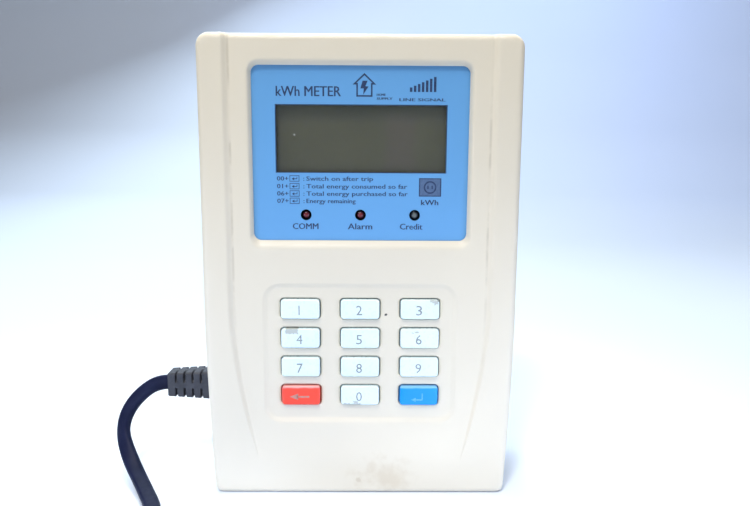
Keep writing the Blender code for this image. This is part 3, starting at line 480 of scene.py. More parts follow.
def turned(profile, count=32):
    """A profile of (distance along, radius) turned about its axis: rows are the profile, columns go
    round. The result is (along, across, across)."""
    profile = np.asarray(profile)
    angle = np.linspace(0, 2 * np.pi, count + 1)
    along = np.repeat(profile[:, :1], count + 1, axis=1)
    return np.stack((along, profile[:, 1:] * np.cos(angle), profile[:, 1:] * np.sin(angle)), axis=-1)


bend = np.radians(np.linspace(0, 90, 7))
tip = np.stack((PIN_LENGTH - 0.0014 * (1 - np.sin(bend)), 0.0007 + 0.0013 * np.cos(bend)), axis=1)
core = PIN_RADIUS - 0.0001
pin_profile = np.vstack((((0.0, core), (0.0096, core), (0.0098, PIN_RADIUS)), tip))
sleeve_profile = ((0.0, 0.0012), (0.0, 0.00202), (0.0088, 0.00202), (0.0091, 0.00196), (0.0091, 0.0012))
for name, side in (("plug_pin_live", 1), ("plug_pin_neutral", -1)):
    root = np.array((PLUG_AT[0] + PLUG_LENGTH / 2, PLUG_AT[1] + side * PIN_SPACING / 2, PLUG_AT[2]))
    pin = drawn_together(turned(pin_profile) + root)
    build(name + "_turned", [pin], nickel, stands_for=(name,))
    sleeve_skin = drawn_together(turned(sleeve_profile) + root - (0.0004, 0, 0))
    build(name + "_sleeve", [sleeve_skin], black_pvc)


# ---- The tie round the coil -------------------------------------------------------------------
# A black nylon strap, 3 mm wide, pulled tight round both layers of the coil, with its lock on top.

TIE_ANGLE = np.radians(60)
TIE_SIZE, TIE_CORNER = (0.0163, 0.0118), 0.0018
LOCK_SIZE, LOCK_CORNER = (0.0050, 0.0044), 0.0008
# The middle of the wound turns, out from the coil's middle and up from the floor.
tie_u, tie_v = (0.0217 + 0.0374) / 2, (0.0012 + 0.0124) / 2
spine, normal = rounded(*TIE_SIZE, TIE_CORNER, (20, 16), 5, (tie_u, tie_v))
section_w = np.array((-0.0015, -0.0015, -0.0012, 0.0012, 0.0015, 0.0015, 0.0012, -0.0012, -0.0015))
section_g = np.array((0.0002, 0.0005, 0.0008, 0.0008, 0.0005, 0.0002, 0.0, 0.0, 0.0002)) + TIE_CORNER
loop = np.empty((len(spine), len(section_w), 3))
loop[..., 0] = spine[:, :1] + normal[:, :1] * section_g
loop[..., 1] = section_w
loop[..., 2] = spine[:, 1:] + normal[:, 1:] * section_g
lock_spine, lock_normal = rounded(*LOCK_SIZE, LOCK_CORNER, (12, 12), 3, (tie_u, 0.0))
lock_z = np.array((0.0124, 0.0147, 0.0150, 0.0151))
lock_g = LOCK_CORNER + np.array((0.0, 0.0, -0.0001, -0.0004))
lock = np.empty((len(lock_z), len(lock_spine), 3))
lock[..., :2] = lock_spine + lock_g[:, None, None] * lock_normal
lock[..., 2] = lock_z[:, None]
nylon = two_tone(
    "black_nylon", (0.015, 0.015, 0.016), ((0.010, 0.010, 0.011), (0.024, 0.024, 0.026)),
    (500,), (1200,), (0.32, 0.5), Roughness=0.4,
)
turn = np.array((
    (np.cos(TIE_ANGLE), -np.sin(TIE_ANGLE), 0), (np.sin(TIE_ANGLE), np.cos(TIE_ANGLE), 0), (0, 0, 1),
))
tie_grids = [grid @ turn.T + (*COIL_MIDDLE, 0.0) for grid in (loop, drawn_together(lock))]
tie = build("nylon_tie", tie_grids, nylon, stands_for=("cord_tie",))


# ---- The front cover --------------------------------------------------------------------------
# Moulded ABS in warm cream, with a faintly spark-eroded surface. A panel 1.2 mm deep lies between
# two side strips and runs out towards the foot; the window and the keypad's recess are set in it.

CASE_WIDTH, CASE_HEIGHT, FRONT, BACK, SPLIT = 0.104, 0.154, -0.019, 0.019, 0.003
CORNER, SIDE_DRAW, CURVE_TOP = 0.0043, 0.0021, 0.060
DRAW_POWER = 1.6  # how the sides and the strips draw in towards the foot
STRIP_FOOT_X, STRIP_DRAW, STRIP_TOP_Z, STRIP_FALL = 0.042, 0.0075, 0.065, 0.052
PANEL_DROP, PANEL_Y = 0.0012, -0.0178
RECESS_Y, INSIDE_Y = -0.01725, -0.0152
RECESS_SIZE, RECESS_CORNER, RECESS_Z = (0.0620, 0.0452), 0.004, 0.0497
WINDOW_SEAT_Y = -0.0160
KEY_ROWS = (("1", "2", "3"), ("4", "5", "6"), ("7", "8", "9"), ("delete", "0", "enter"))
KEY_PITCH, KEY_TOP_Z = (0.020, 0.010), 0.0652
KEY_SIZE, KEY_CORNER, KEY_GAP = (0.0129, 0.0066), 0.0011, 0.0004
EDGE = 0.0021  # the radius of the case's front edges


def half_width(z):
    """Half the case's width: straight above 60 mm, and drawn in below as the 1.6th power."""
    return CASE_WIDTH / 2 - SIDE_DRAW * np.clip(1 - z / CURVE_TOP, 0, None) ** DRAW_POWER


def strip_lines(z):
    """The foot and the top of the slope beside a strip, and the panel's depth there."""
    down = np.clip((STRIP_TOP_Z - z) / STRIP_FALL, 0, 1)
    depth = PANEL_DROP * (1 - down**4)
    foot = STRIP_FOOT_X - STRIP_DRAW * down**DRAW_POWER
    return foot, foot + (1.4 - 0.5 * down) * depth + 0.0003, depth


def face_y(x, z):
    """The front's surface: a smooth step from the panel up to each strip."""
    foot, top, depth = strip_lines(z)
    share = np.clip((np.abs(x) - foot) / (top - foot), 0, 1)
    return FRONT + depth * (1 - smooth_step(share))


def face_x(u, z):
    """Grid lines that follow the slopes: u is a line's x where the strips are straight."""
    foot, top, _ = strip_lines(z)
    marks_u = (0.0, 0.0386, 0.0416, 0.0446, 0.0465)
    marks_x = (0.0 * z, np.minimum(0.0386, foot - 0.0012), foot - 0.0003, top + 0.0003, 0.0465 + 0 * z)
    size, x = np.abs(u), 0.0 * u
    for u0, u1, x0, x1 in zip(marks_u, marks_u[1:], marks_x, marks_x[1:]):
        within = (size >= u0) & (size <= u1)
        x = np.where(within, x0 + (x1 - x0) * (size - u0) / (u1 - u0), x)
    return np.sign(u) * x


def spaced(*marks):
    """Positions through marks, given as position, steps, position, steps, position and so on."""
    runs = [np.linspace(a, b, n, endpoint=False) for a, n, b in zip(marks[:-2:2], marks[1::2], marks[2::2])]
    return np.concatenate((*runs, marks[-1:]))


def edge_of(us, vs):
    """Once round a block of the grid from its lower left corner, as (u, v)."""
    low = [(u, vs[0]) for u in us[:-1]]
    right = [(us[-1], v) for v in vs[:-1]]
    top = [(u, vs[-1]) for u in us[:0:-1]]
    left = [(us[0], v) for v in vs[:0:-1]]
    return np.array((*low, *right, *top, *left, low[0]))


def blended(first, second, steps):
    """Outlines in even steps from one to another."""
    share = np.linspace(0, 1, steps + 1)[:, None, None]
    return first * (1 - share) + second * share


def at_depth(outlines, y):
    """(x, z) outlines as rows of points, each at its depth y."""
    outlines = np.asarray(outlines)
    grid = np.empty((*outlines.shape[:2], 3))
    grid[..., 0], grid[..., 1], grid[..., 2] = outlines[..., 0], y, outlines[..., 1]
    return grid


def offset(outline, growths):
    """One row of (x, z) for each growth of a spine with normals."""
    spine, normal, radius = outline
    return spine + (radius + np.asarray(growths))[:, None, None] * normal


def outlined(size, radius, counts, corner, middle):
    """A rounded rectangle as offset takes it: its spine, its normals and its corners' radius."""
    return (*rounded(*size, radius, counts, corner, middle), radius)


def quarter(radius, count=5):
    """A rounded edge: how far it still reaches out, and how deep it has gone, at each step."""
    turn = np.radians(np.linspace(0, 90, count))
    return radius * (1 - np.sin(turn)), radius * (1 - np.cos(turn))


def case_outline(us, vs, corner):
    """The case's outline with its spine's points level with the grid's lines, so that both line up."""
    middle = CASE_HEIGHT / 2
    spine, normal = rounded(CASE_WIDTH, CASE_HEIGHT, CORNER, (len(us) - 1, len(vs) - 1), corner)
    low, high, up = face_x(us, vs[0] + 0 * us), face_x(us, vs[-1] + 0 * us), vs - middle
    start = 0
    for axis, values in ((0, low), (1, up), (0, high[::-1]), (1, up[::-1])):
        count = len(values) - 1
        inner = np.arange(corner + 1, count - corner)
        spine[start + inner, axis] = values[inner]
        start += count
    return spine + (0.0, middle), normal, CORNER


def drawn_in(outlines):
    """The outlines with each side drawn in as the case's sides are, and with the two lower corners
    made squarer: a point's reach from a corner's middle goes by fourth powers instead of squares."""
    outlines = outlines.copy()
    beyond = np.clip(np.abs(outlines[..., 0]) - (CASE_WIDTH / 2 - CORNER), 0, None)
    below = np.clip(CORNER - outlines[..., 1], 0, None)
    reach = np.maximum((beyond**4 + below**4) ** 0.25, 1e-9)
    more = np.maximum(np.hypot(beyond, below) / reach - 1, 0)
    outlines[..., 0] += np.sign(outlines[..., 0]) * beyond * more
    outlines[..., 1] -= below * more
    outlines[..., 0] *= half_width(outlines[..., 1]) / (CASE_WIDTH / 2)
    return outlines


us = spaced(-0.0465, 5, -0.0446, 8, -0.0416, 3, -0.0386, 42, 0.0386, 3, 0.0416, 8, 0.0446, 5, 0.0465)
vs = spaced(0.0055, 8, 0.020, 40, 0.0825, 40, 0.1485)
middle_us, recess_vs, window_vs = us[16:59], vs[8:49], vs[48:89]
grids = []
for block_us, block_vs in ((us[:17], vs), (us[58:], vs), (middle_us, vs[:9])):
    u, z = np.meshgrid(block_us, block_vs)
    x = face_x(u, z)
    points = np.stack((x, z), axis=-1)
    grids += [at_depth(points, face_y(x, z)), at_depth(points, INSIDE_Y)]

# The keypad: twelve blocks, each with a rounded hole through the floor of the recess.
field_us = spaced(-1.5 * KEY_PITCH[0], 42, 1.5 * KEY_PITCH[0])
field_vs = spaced(KEY_TOP_Z - 3.5 * KEY_PITCH[1], 40, KEY_TOP_Z + 0.5 * KEY_PITCH[1])
key_places = {
    name: ((column - 1) * KEY_PITCH[0], KEY_TOP_Z - row * KEY_PITCH[1])
    for row, names in enumerate(KEY_ROWS)
    for column, name in enumerate(names)
}
for x, z in key_places.values():
    i, j = round(x / KEY_PITCH[0] + 1) * 14, round((z - KEY_TOP_Z) / KEY_PITCH[1] + 3) * 10
    block = edge_of(field_us[i : i + 15], field_vs[j : j + 11])
    size = [side + 2 * KEY_GAP for side in KEY_SIZE]
    hole = outlined(size, KEY_CORNER + KEY_GAP, (14, 10), 3, (x, z))
    reach, deep = quarter(0.0003)
    lip = offset(hole, reach)
    rows = np.concatenate((blended(block, lip[0], 3)[:-1], lip, offset(hole, (0, 0))))
    depth = np.concatenate((np.zeros(3), deep, (INSIDE_Y - RECESS_Y - 0.0002, INSIDE_Y - RECESS_Y)))
    grids.append(at_depth(rows, RECESS_Y + depth[:, None]))
    grids.append(at_depth(blended(lip[-1], block, 1), INSIDE_Y))

# The recess: a level floor, and sides that rise to the panel as a smooth step.
block = edge_of(middle_us, recess_vs)
block[:, 0] = face_x(block[:, 0], block[:, 1])
field = edge_of(field_us, field_vs)
floor = outlined(RECESS_SIZE, RECESS_CORNER, (42, 40), 7, (0, RECESS_Z))
climb = np.linspace(0, 1, 11)
slope = offset(floor, 0.0018 - 0.0021 * climb)
rows = np.concatenate((blended(block, slope[0], 5)[:-1], slope, blended(slope[-1], field, 3)[1:]))
surface = face_y(rows[..., 0], rows[..., 1])
sunk = np.concatenate((np.zeros(5), smooth_step(climb), np.ones(3)))[:, None]
grids.append(at_depth(rows, surface + (RECESS_Y - surface) * sunk))
grids.append(at_depth(blended(field, block, 1), INSIDE_Y))

# The window: sides that slope in to the seat, and the pocket behind it.
block = edge_of(middle_us, window_vs)
mouth = outlined((0.0720, 0.0594), 0.0036, (42, 40), 7, (0, 0.1157))
inner = outlined((0.0702, 0.0562), 0.0025, (42, 40), 7, (0, 0.1162))
pocket = outlined((0.0756, 0.0616), 0.0020, (42, 40), 7, (0, 0.1162))
mouth, inner, pocket = (offset(outline, (0.0,))[0] for outline in (mouth, inner, pocket))
slide = np.linspace(-0.35, 1, 12)[:, None, None]
sloped = mouth * (1 - slide) + inner * slide
fall = np.clip((slide[:, 0] + 0.35) / 1.35, 0, 1)
fall = 0.25 * fall + 0.75 * fall * fall
rows = np.concatenate((blended(block, sloped[0], 4)[:-1], sloped))
depth = np.concatenate((np.zeros((4, 1)), fall * (WINDOW_SEAT_Y - PANEL_Y)))
grids.append(at_depth(rows, PANEL_Y + depth))
grids.append(at_depth([inner, pocket, pocket, block], np.array([[WINDOW_SEAT_Y]] * 2 + [[INSIDE_Y]] * 2)))

# The rounded edges and the side walls, back to the joint with the rear cover.
block = edge_of(us, vs)
block[:, 0] = face_x(block[:, 0], block[:, 1])
outline = case_outline(us, vs, 5)
reach, deep = quarter(EDGE, 8)
edge_rows = drawn_in(offset(outline, -reach))
edge_y = face_y(edge_rows[0, :, 0], edge_rows[0, :, 1])
rim = blended(block, edge_rows[0], 4)[:-1]
grids.append(at_depth(rim, face_y(rim[..., 0], rim[..., 1])))
grids.append(at_depth([rim[-1], edge_rows[0]], np.stack((face_y(rim[-1][:, 0], rim[-1][:, 1]), edge_y))))
grids.append(at_depth(edge_rows, edge_y + deep[:, None]))
wall_rows = drawn_in(offset(outline, (0, 0, 0, 0, -0.00025, -0.0018, -0.0018)))
wall_y = np.empty(wall_rows.shape[:2])
wall_y[0] = edge_y + EDGE
wall_y[1:] = np.array((-0.012, -0.005, SPLIT - 0.00025, SPLIT, SPLIT, INSIDE_Y))[:, None]
grids.append(at_depth(wall_rows, wall_y))
grids.append(at_depth([wall_rows[-1], block], INSIDE_Y))

cream_abs, tree = new_look("cream_abs", (0.712, 0.640, 0.512), Roughness=0.46)
shade = mixed(
    tree, ranged(tree, grain(tree, 14, 2), 0, 1, smooth=True), (0.704, 0.633, 0.508), (0.724, 0.650, 0.520)
)


def spot(tree, middle, reach, rough_scale, spread=0.6):
    """1 inside a blotch with a ragged edge round a point, falling to 0 outside it."""
    coords = tree.nodes.new("ShaderNodeTexCoord")
    shift = tree.nodes.new("ShaderNodeMapping")
    shift.inputs["Location"].default_value = [-m / r for m, r in zip(middle, reach)]
    shift.inputs["Scale"].default_value = [1 / r for r in reach]
    length = tree.nodes.new("ShaderNodeVectorMath")
    length.operation = "LENGTH"
    tree.links.new(coords.outputs["Object"], shift.inputs["Vector"])
    tree.links.new(shift.outputs["Vector"], length.inputs[0])
    ragged = reckon(tree, "MULTIPLY", reckon(tree, "SUBTRACT", grain(tree, rough_scale, 4), 0.5), 2.2)
    distance = reckon(tree, "ADD", length.outputs["Value"], ragged)
    return ranged(tree, distance, 1, 0, 1 - spread, 1 + spread * 0.2, smooth=True)


stain = reckon(tree, "MULTIPLY", spot(tree, (0.0084, FRONT, 0.0064), (0.0100, 0.010, 0.0064), 300, 0.9), 0.42)
fleck = spot(tree, (0.0086, RECESS_Y, 0.0632), (0.00042, 0.01, 0.00042), 900, 0.4)
smudge = reckon(tree, "MULTIPLY", spot(tree, (-0.0005, FRONT, 0.0052), (0.0012, 0.010, 0.0012), 800), 0.4)


def metres_on(tree):
    """A point's own X, Y and Z on the piece, in metres."""
    coords = tree.nodes.new("ShaderNodeTexCoord")
    apart = tree.nodes.new("ShaderNodeSeparateXYZ")
    tree.links.new(coords.outputs["Object"], apart.inputs[0])
    return apart.outputs


def painted_crease_shade(tree):
    """Painted shade along the crease where a side strip's slope meets the panel: 1 on that line, and 0 from
    0.6 mm off it.
    """
    at = metres_on(tree)
    down = ranged(tree, at["Z"], 1, 0, STRIP_TOP_Z - STRIP_FALL, STRIP_TOP_Z)
    foot = reckon(tree, "MULTIPLY_ADD", reckon(tree, "POWER", down, DRAW_POWER), -STRIP_DRAW)
    foot.node.inputs[2].default_value = STRIP_FOOT_X - 0.0001
    away = reckon(tree, "SUBTRACT", reckon(tree, "ABSOLUTE", at["X"]), foot)
    near = ranged(tree, reckon(tree, "ABSOLUTE", away), 1, 0, 0.0001, 0.0006, smooth=True)
    fades = ranged(tree, at["Z"], 0, 1, 0.045, 0.090, smooth=True)
    front = ranged(tree, at["Y"], 1, 0, FRONT + 0.0016, FRONT + 0.0020)
    patchy = ranged(tree, grain(tree, 130, 3), 0.15, 1, 0.40, 0.62, smooth=True)
    faint = reckon(tree, "MULTIPLY", front, patchy)
    return reckon(tree, "MULTIPLY", reckon(tree, "MULTIPLY", near, fades), faint)


# Painted shade darkens the crease at the foot of each strip's slope.
shade = mixed(tree, reckon(tree, "MULTIPLY", painted_crease_shade(tree), 0.34), shade, (0.330, 0.280, 0.200))
shade = mixed(tree, stain, shade, (0.560, 0.450, 0.310))
shade = mixed(tree, smudge, shade, (0.500, 0.400, 0.270))
shade = mixed(tree, fleck, shade, (0.045, 0.040, 0.036))
wire_up(
    tree,
    shade,
    ranged(tree, grain(tree, 260, 4), 0.40, 0.55),
    reckon(tree, "ADD", grain(tree, 3200, 3), grain(tree, 900, 2)),
    0.16,
    0.00005,
)
build("moulded_front_cover", grids, cream_abs, stands_for=("front_cover",))


# ---- The rear cover ---------------------------------------------------------------------------
# The same ABS. Four bosses take the screws from behind, two keyholes hang the case on a wall, and
# a shallow recess is left for a rating label.

REAR_Y, REAR_EDGE, REAR_INSIDE_Y = SPLIT + 0.0003, 0.0015, 0.0170
SCREWS = {
    "case_screw_top_left": (-0.044, 0.145),
    "case_screw_top_right": (0.044, 0.145),
    "case_screw_bottom_left": (-0.044, 0.009),
    "case_screw_bottom_right": (0.044, 0.009),
}
SEAT_Y, SEAT_RADIUS = 0.013, 0.0033
LABEL_SIZE, LABEL_CORNER, LABEL_MIDDLE, LABEL_DEPTH = (0.062, 0.036), 0.002, (0, 0.068), 0.0004


def keyhole(x, growth, count):
    """A round opening with a narrower slot above it: two arcs whose ends meet, spaced evenly."""
    head, slot = 0.0045 + growth, 0.0024 + growth
    open_angle = np.arcsin(slot / head)
    low = np.linspace(np.pi / 2 + open_angle, 5 * np.pi / 2 - open_angle, 60)
    top = np.linspace(0, np.pi, 24)
    points = np.vstack((
        np.stack((head * np.cos(low), head * np.sin(low)), 1),
        np.stack((slot * np.cos(top), 0.009 + slot * np.sin(top)), 1),
    ))
    first = np.argmin(np.linalg.norm(points - (-head * 0.7071, -head * 0.7071), axis=1))
    points = np.vstack((np.roll(points, -first, axis=0), points[first]))
    along = np.concatenate(([0], np.cumsum(np.linalg.norm(np.diff(points, axis=0), axis=1))))
    even = np.linspace(0, along[-1], count + 1)
    return np.stack([np.interp(even, along, column) for column in points.T], axis=1) + (x, 0.118)


us = spaced(-0.048, 12, -0.040, 3, -0.0365, 14, -0.0235, 24, 0.0235, 14, 0.0365, 3, 0.040, 12, 0.048)
vs = spaced(0.0046, 12, 0.0136, 16, 0.046, 24, 0.090, 10, 0.1115, 16, 0.1315, 5, 0.1400, 12, 0.1494)
grids = []


def plain(i0, i1, j0, j1):
    """A block of the back with nothing in it, outside and inside."""
    points = np.stack(np.meshgrid(us[i0 : i1 + 1], vs[j0 : j1 + 1]), axis=-1)
    return [at_depth(points, BACK), at_depth(points, REAR_INSIDE_Y)]


columns, levels = (0, 12, 15, 29, 53, 67, 70, 82), (0, 12, 28, 52, 62, 78, 83, 95)
taken = {(0, 0), (6, 0), (0, 6), (6, 6), (2, 2), (3, 2), (4, 2), (2, 4), (4, 4)}
for i in range(7):
    for j in range(7):
        if (i, j) not in taken:
            grids += plain(columns[i], columns[i + 1], levels[j], levels[j + 1])
reach, deep = quarter(0.0003, 4)
for x, z in SCREWS.values():
    i, j = (0 if x < 0 else 6), (0 if z < 0.05 else 6)
    block = edge_of(us[columns[i] : columns[i + 1] + 1], vs[levels[j] : levels[j + 1] + 1])
    seat = outlined((2 * SEAT_RADIUS, 2 * SEAT_RADIUS), SEAT_RADIUS, (12, 12), 6, (x, z))
    lip = offset(seat, reach)
    bore = offset(seat, (0, -0.0016, -SEAT_RADIUS))
    rows = np.concatenate((blended(block, lip[0], 2)[:-1], lip, bore))
    depth = np.concatenate(((BACK, BACK), BACK - deep, (SEAT_Y, SEAT_Y, SEAT_Y)))
    grids.append(at_depth(rows, depth[:, None]))
    boss = offset(seat, (0.0007, 0.0007, -SEAT_RADIUS))
    grids.append(at_depth([block, *boss], np.array([[REAR_INSIDE_Y]] * 2 + [[0.0115]] * 2)))
for x, i in ((-0.030, 2), (0.030, 4)):
    block = edge_of(us[columns[i] : columns[i + 1] + 1], vs[levels[4] : levels[5] + 1])
    lip = np.array([keyhole(x, growth, 60) for growth in reach])
    rows = np.concatenate((blended(block, lip[0], 3)[:-1], lip, lip[-1:]))
    depth = np.concatenate(((BACK, BACK, BACK), BACK - deep, (REAR_INSIDE_Y,)))
    grids.append(at_depth(rows, depth[:, None]))
    grids.append(at_depth([lip[-1], block], REAR_INSIDE_Y))
block = edge_of(us[15:68], vs[28:53])
lip = offset(outlined(LABEL_SIZE, LABEL_CORNER, (52, 24), 5, LABEL_MIDDLE), (0.0002, 0.0001, 0.0))
floor = blended(lip[-1], lip[-1] * 0 + LABEL_MIDDLE, 6)[1:]
rows = np.concatenate((blended(block, lip[0], 2)[:-1], lip, floor))
sunk = np.concatenate(((0, 0, 0), (LABEL_DEPTH / 2, LABEL_DEPTH), np.full(6, LABEL_DEPTH)))
grids.append(at_depth(rows, BACK - sunk[:, None]))
grids.append(at_depth(blended(block, block * 0 + LABEL_MIDDLE, 2), REAR_INSIDE_Y))

block = edge_of(us, vs)
outline = outlined((CASE_WIDTH, CASE_HEIGHT), CORNER, (82, 95), 6, (0, CASE_HEIGHT / 2))
reach, deep = quarter(REAR_EDGE, 7)
grows = np.concatenate(((-0.0018, -0.0018, -0.00025, 0, 0, 0), -reach[::-1]))
rows = np.concatenate((drawn_in(offset(outline, grows)), block[None]))
depth = np.concatenate((
    (REAR_INSIDE_Y, REAR_Y, REAR_Y, REAR_Y + 0.00025, 0.008, 0.013), BACK - deep[::-1], (BACK,),
))
grids.append(at_depth(rows, depth[:, None]))
grids.append(at_depth([rows[0], block], REAR_INSIDE_Y))
build("moulded_rear_cover", grids, cream_abs, stands_for=("rear_cover",))


# ---- The case screws --------------------------------------------------------------------------
# Zinc-plated self-tapping screws with a domed, cross-recessed head, driven from behind.

HEAD_RADIUS, HEAD_HEIGHT, SHANK_RADIUS = 0.0027, 0.0018, 0.0013
HEAD_Y, SHANK_END_Y, THREADS = SEAT_Y + 0.0003, -0.0087, 18


def screw_head(radius_steps, angle_steps):
    """A head's top: a shallow dome, less a cross whose depth falls off with distance from its arms."""
    r, turn = np.linspace(0, 1, radius_steps)[:, None], np.linspace(0, 2 * np.pi, angle_steps)
    x, z = HEAD_RADIUS * r * np.cos(turn), HEAD_RADIUS * r * np.sin(turn)
    dome = HEAD_HEIGHT * (1 - 0.55 * r**3.2)
    arm = np.clip((0.00042 - np.minimum(np.abs(x), np.abs(z))) / 0.00016, 0, 1)
    reach = np.clip((0.00155 - np.hypot(x, z)) / 0.0003, 0, 1)
    return np.stack((x, dome - 0.0009 * arm * reach, z), axis=-1)


steel = two_tone(
    "zinc_plated_steel", (0.62, 0.60, 0.55), ((0.60, 0.58, 0.52), (0.68, 0.67, 0.64)),
    (420,), (1500, 4), (0.22, 0.42), ((4000, 2), 0.1, 0.00003), Metallic=1.0, Roughness=0.3,
)
steps = np.linspace(0, 1, 121)
thread = SHANK_RADIUS * (1 - 0.16 * (0.5 - 0.5 * np.cos(2 * np.pi * THREADS * steps)))
# The last turns taper to the point.
thread = np.where(steps > 0.93, thread * (1 - (steps - 0.93) / 0.09), thread)
radii = np.concatenate(((HEAD_RADIUS, HEAD_RADIUS - 0.0001, SHANK_RADIUS), thread, (0.0,)))
depth = np.concatenate(((0.0001, 0.0, 0.0), -0.0005 + (SHANK_END_Y + 0.0005 - HEAD_Y) * steps))
depth = np.append(depth, depth[-1])
shank = turned(np.stack((depth, radii), axis=1), 64)[..., [1, 0, 2]]
screw = np.concatenate((screw_head(26, 65), shank))
for name, (x, z) in SCREWS.items():
    build(name + "_turned", [screw + (x, HEAD_Y, z)], steel, stands_for=(name,))


# ---- The keys ---------------------------------------------------------------------------------
# Twelve hard ABS caps, painted, with a flange behind the case so that they can't fall out. The
# paint has chipped through to the grey plastic at four edges. The legends are pad-printed.

KEY_FACE_Y, KEY_EDGE, KEY_FLANGE_Y, KEY_BACK_Y = -0.0185, 0.0005, -0.0149, -0.0136
PRINT = 0.00002  # how thick printed ink stands


def key_cap(x, z):
    """A cap as outlines set inwards or outwards at each depth: crowned face, rounded edge, flange."""
    outline = outlined(KEY_SIZE, KEY_CORNER, (28, 20), 6, (x, z))
    reach, deep = quarter(KEY_EDGE, 7)
    inner = offset(outline, (-0.0010,))[0]
    face = blended(inner * 0 + (x, z), inner, 3)[:-1]
    band = offset(outline, (-0.0010, -0.0008, -0.0006))
    rows = np.concatenate((
        face, band, offset(outline, -reach), offset(outline, (0, 0, 0.0009, 0.001, 0.001)),
        (inner * 0 + (x, z),),
    ))
    crown = np.array((0, 0, 0, 0.00001, 0.00003, 0.00005))
    depth = np.concatenate((
        KEY_FACE_Y + crown, KEY_FACE_Y + 0.00006 + deep * 0.88,
        (-0.0165, KEY_FLANGE_Y, KEY_FLANGE_Y, KEY_FLANGE_Y + 0.0001, KEY_BACK_Y, KEY_BACK_Y),
    ))
    return at_depth(rows, depth[:, None])


def box_spot(tree, low, high, rough_scale, ragged, spread):
    """1 inside an upright rectangle, given as (x, z) corners, whose edges are eaten away by noise."""
    at, away = metres_on(tree), None
    for axis, a, b in (("X", low[0], high[0]), ("Z", low[1], high[1])):
        off = reckon(tree, "ABSOLUTE", reckon(tree, "SUBTRACT", at[axis], (a + b) / 2))
        off = reckon(tree, "SUBTRACT", off, (b - a) / 2)
        away = off if away is None else reckon(tree, "MAXIMUM", away, off)
    noise = reckon(tree, "MULTIPLY", reckon(tree, "SUBTRACT", grain(tree, rough_scale, 3), 0.5), ragged)
    return ranged(tree, reckon(tree, "ADD", away, noise), 1, 0, -spread, spread, smooth=True)


white_key, tree = new_look("white_key_paint", (0.72, 0.85, 0.87), Roughness=0.3)
chips = None
for low, high, ragged in (
    ((0.0247, 0.0669), (0.0261, 0.0683), 0.0026),
    ((0.0235, 0.0675), (0.0248, 0.0683), 0.0022),
    ((-0.0249, 0.0568), (-0.0207, 0.0590), 0.0016),
    ((0.0184, 0.0572), (0.0194, 0.0577), 0.0016),
    ((0.0173, 0.0569), (0.0186, 0.0571), 0.0016),
    ((-0.0060, 0.0312), (0.0002, 0.0325), 0.0024),
    ((-0.0022, 0.0322), (-0.0008, 0.0333), 0.0020),
):
    chip = box_spot(tree, low, high, 1400, ragged, 0.00012)
    chips = chip if chips is None else reckon(tree, "MAXIMUM", chips, chip)
paint = mixed(tree, ranged(tree, grain(tree, 120, 2), 0, 1), (0.70, 0.845, 0.875), (0.75, 0.855, 0.87))
wire_up(
    tree,
    mixed(tree, chips, paint, (0.46, 0.49, 0.46)),
    reckon(tree, "ADD", ranged(tree, grain(tree, 900, 3), 0.24, 0.36), reckon(tree, "MULTIPLY", chips, 0.25)),
    reckon(tree, "SUBTRACT", reckon(tree, "MULTIPLY", grain(tree, 1800, 2), 0.15), chips),
    0.5,
    0.00005,
)


def paint_with_edge_highlight(name, colour, highlight_tint, edge_z):
    """A coloured key's paint, with a paler painted highlight where its upper edge turns over."""
    look, tree = new_look(name, colour, Roughness=0.3)
    wander = reckon(tree, "MULTIPLY", grain(tree, 500, 3), 0.0004)
    height = reckon(tree, "ADD", metres_on(tree)["Z"], wander)
    # Painted highlight: the paint turns paler along the key's upper edge.
    edge_highlight = ranged(tree, height, 0, 0.75, edge_z + 0.0026, edge_z + 0.0032, smooth=True)
    shade = tuple(0.94 * c for c in colour)
    base = mixed(tree, ranged(tree, grain(tree, 150, 2), 0, 1), shade, colour)
    wire_up(
        tree, mixed(tree, edge_highlight, base, highlight_tint), ranged(tree, grain(tree, 300, 2), 0.29, 0.33),
        grain(tree, 700, 2), 0.06, 0.00004,
    )
    return look


lowest = KEY_TOP_Z - 3 * KEY_PITCH[1]
# Each key's second colour is the painted highlight along its upper edge.
red_key = paint_with_edge_highlight("red_key_paint", (0.93, 0.085, 0.055), (0.88, 0.42, 0.38), lowest)
blue_key = paint_with_edge_highlight("blue_key_paint", (0.001, 0.285, 0.80), (0.26, 0.56, 0.86), lowest)
for name, (x, z) in key_places.items():
    look, slot = {"delete": (red_key, "key_red"), "enter": (blue_key, "key_blue")}.get(
        name, (white_key, "key_white")
    )
    body = "key_" + name
    build(body + "_cap", [key_cap(x, z)], look, body, (body,))


def lettering(rows, y, weight=0.0):
    """Words as thin closed shapes that face the front. Each row is the words, their left and right
    ends, their baseline and the height of their capitals. Each is set twice, half the weight to
    either side, which thickens the upright strokes."""
    shape, size = bmesh.new(), None
    for words, left, right, low, high in (("H", 0, 1, 0, 1), *rows):
        text = bpy.data.curves.new("words", "FONT")
        text.body, text.extrude, text.resolution_u = words, 0.5, 2
        holder = bpy.data.objects.new("words", text)
        mesh = bpy.data.meshes.new_from_object(holder)
        points = np.empty(len(mesh.vertices) * 3, dtype=np.float32)
        mesh.vertices.foreach_get("co", points)
        points = points.reshape(-1, 3)
        if size is None:
            size = points[:, 1].max()
        else:
            start, end = points[:, 0].min(), points[:, 0].max()
            along = left + (points[:, 0] - start) * (right - left) / (end - start)
            up = low + points[:, 1] * high / size
            for side in (-0.5, 0.5) if weight else (0,):
                depth = y - points[:, 2] * PRINT * (1 + 0.2 * side)
                moved = np.stack((along + side * weight, depth, up), axis=1)
                mesh.vertices.foreach_set("co", moved.ravel())
                shape.from_mesh(mesh)
        bpy.data.objects.remove(holder)
        bpy.data.curves.remove(text)
        bpy.data.meshes.remove(mesh)
    bmesh.ops.remove_doubles(shape, verts=shape.verts, dist=1e-7)
    bmesh.ops.recalc_face_normals(shape, faces=shape.faces)
    merged = bpy.data.meshes.new("words")
    shape.to_mesh(merged)
    shape.free()
    return merged


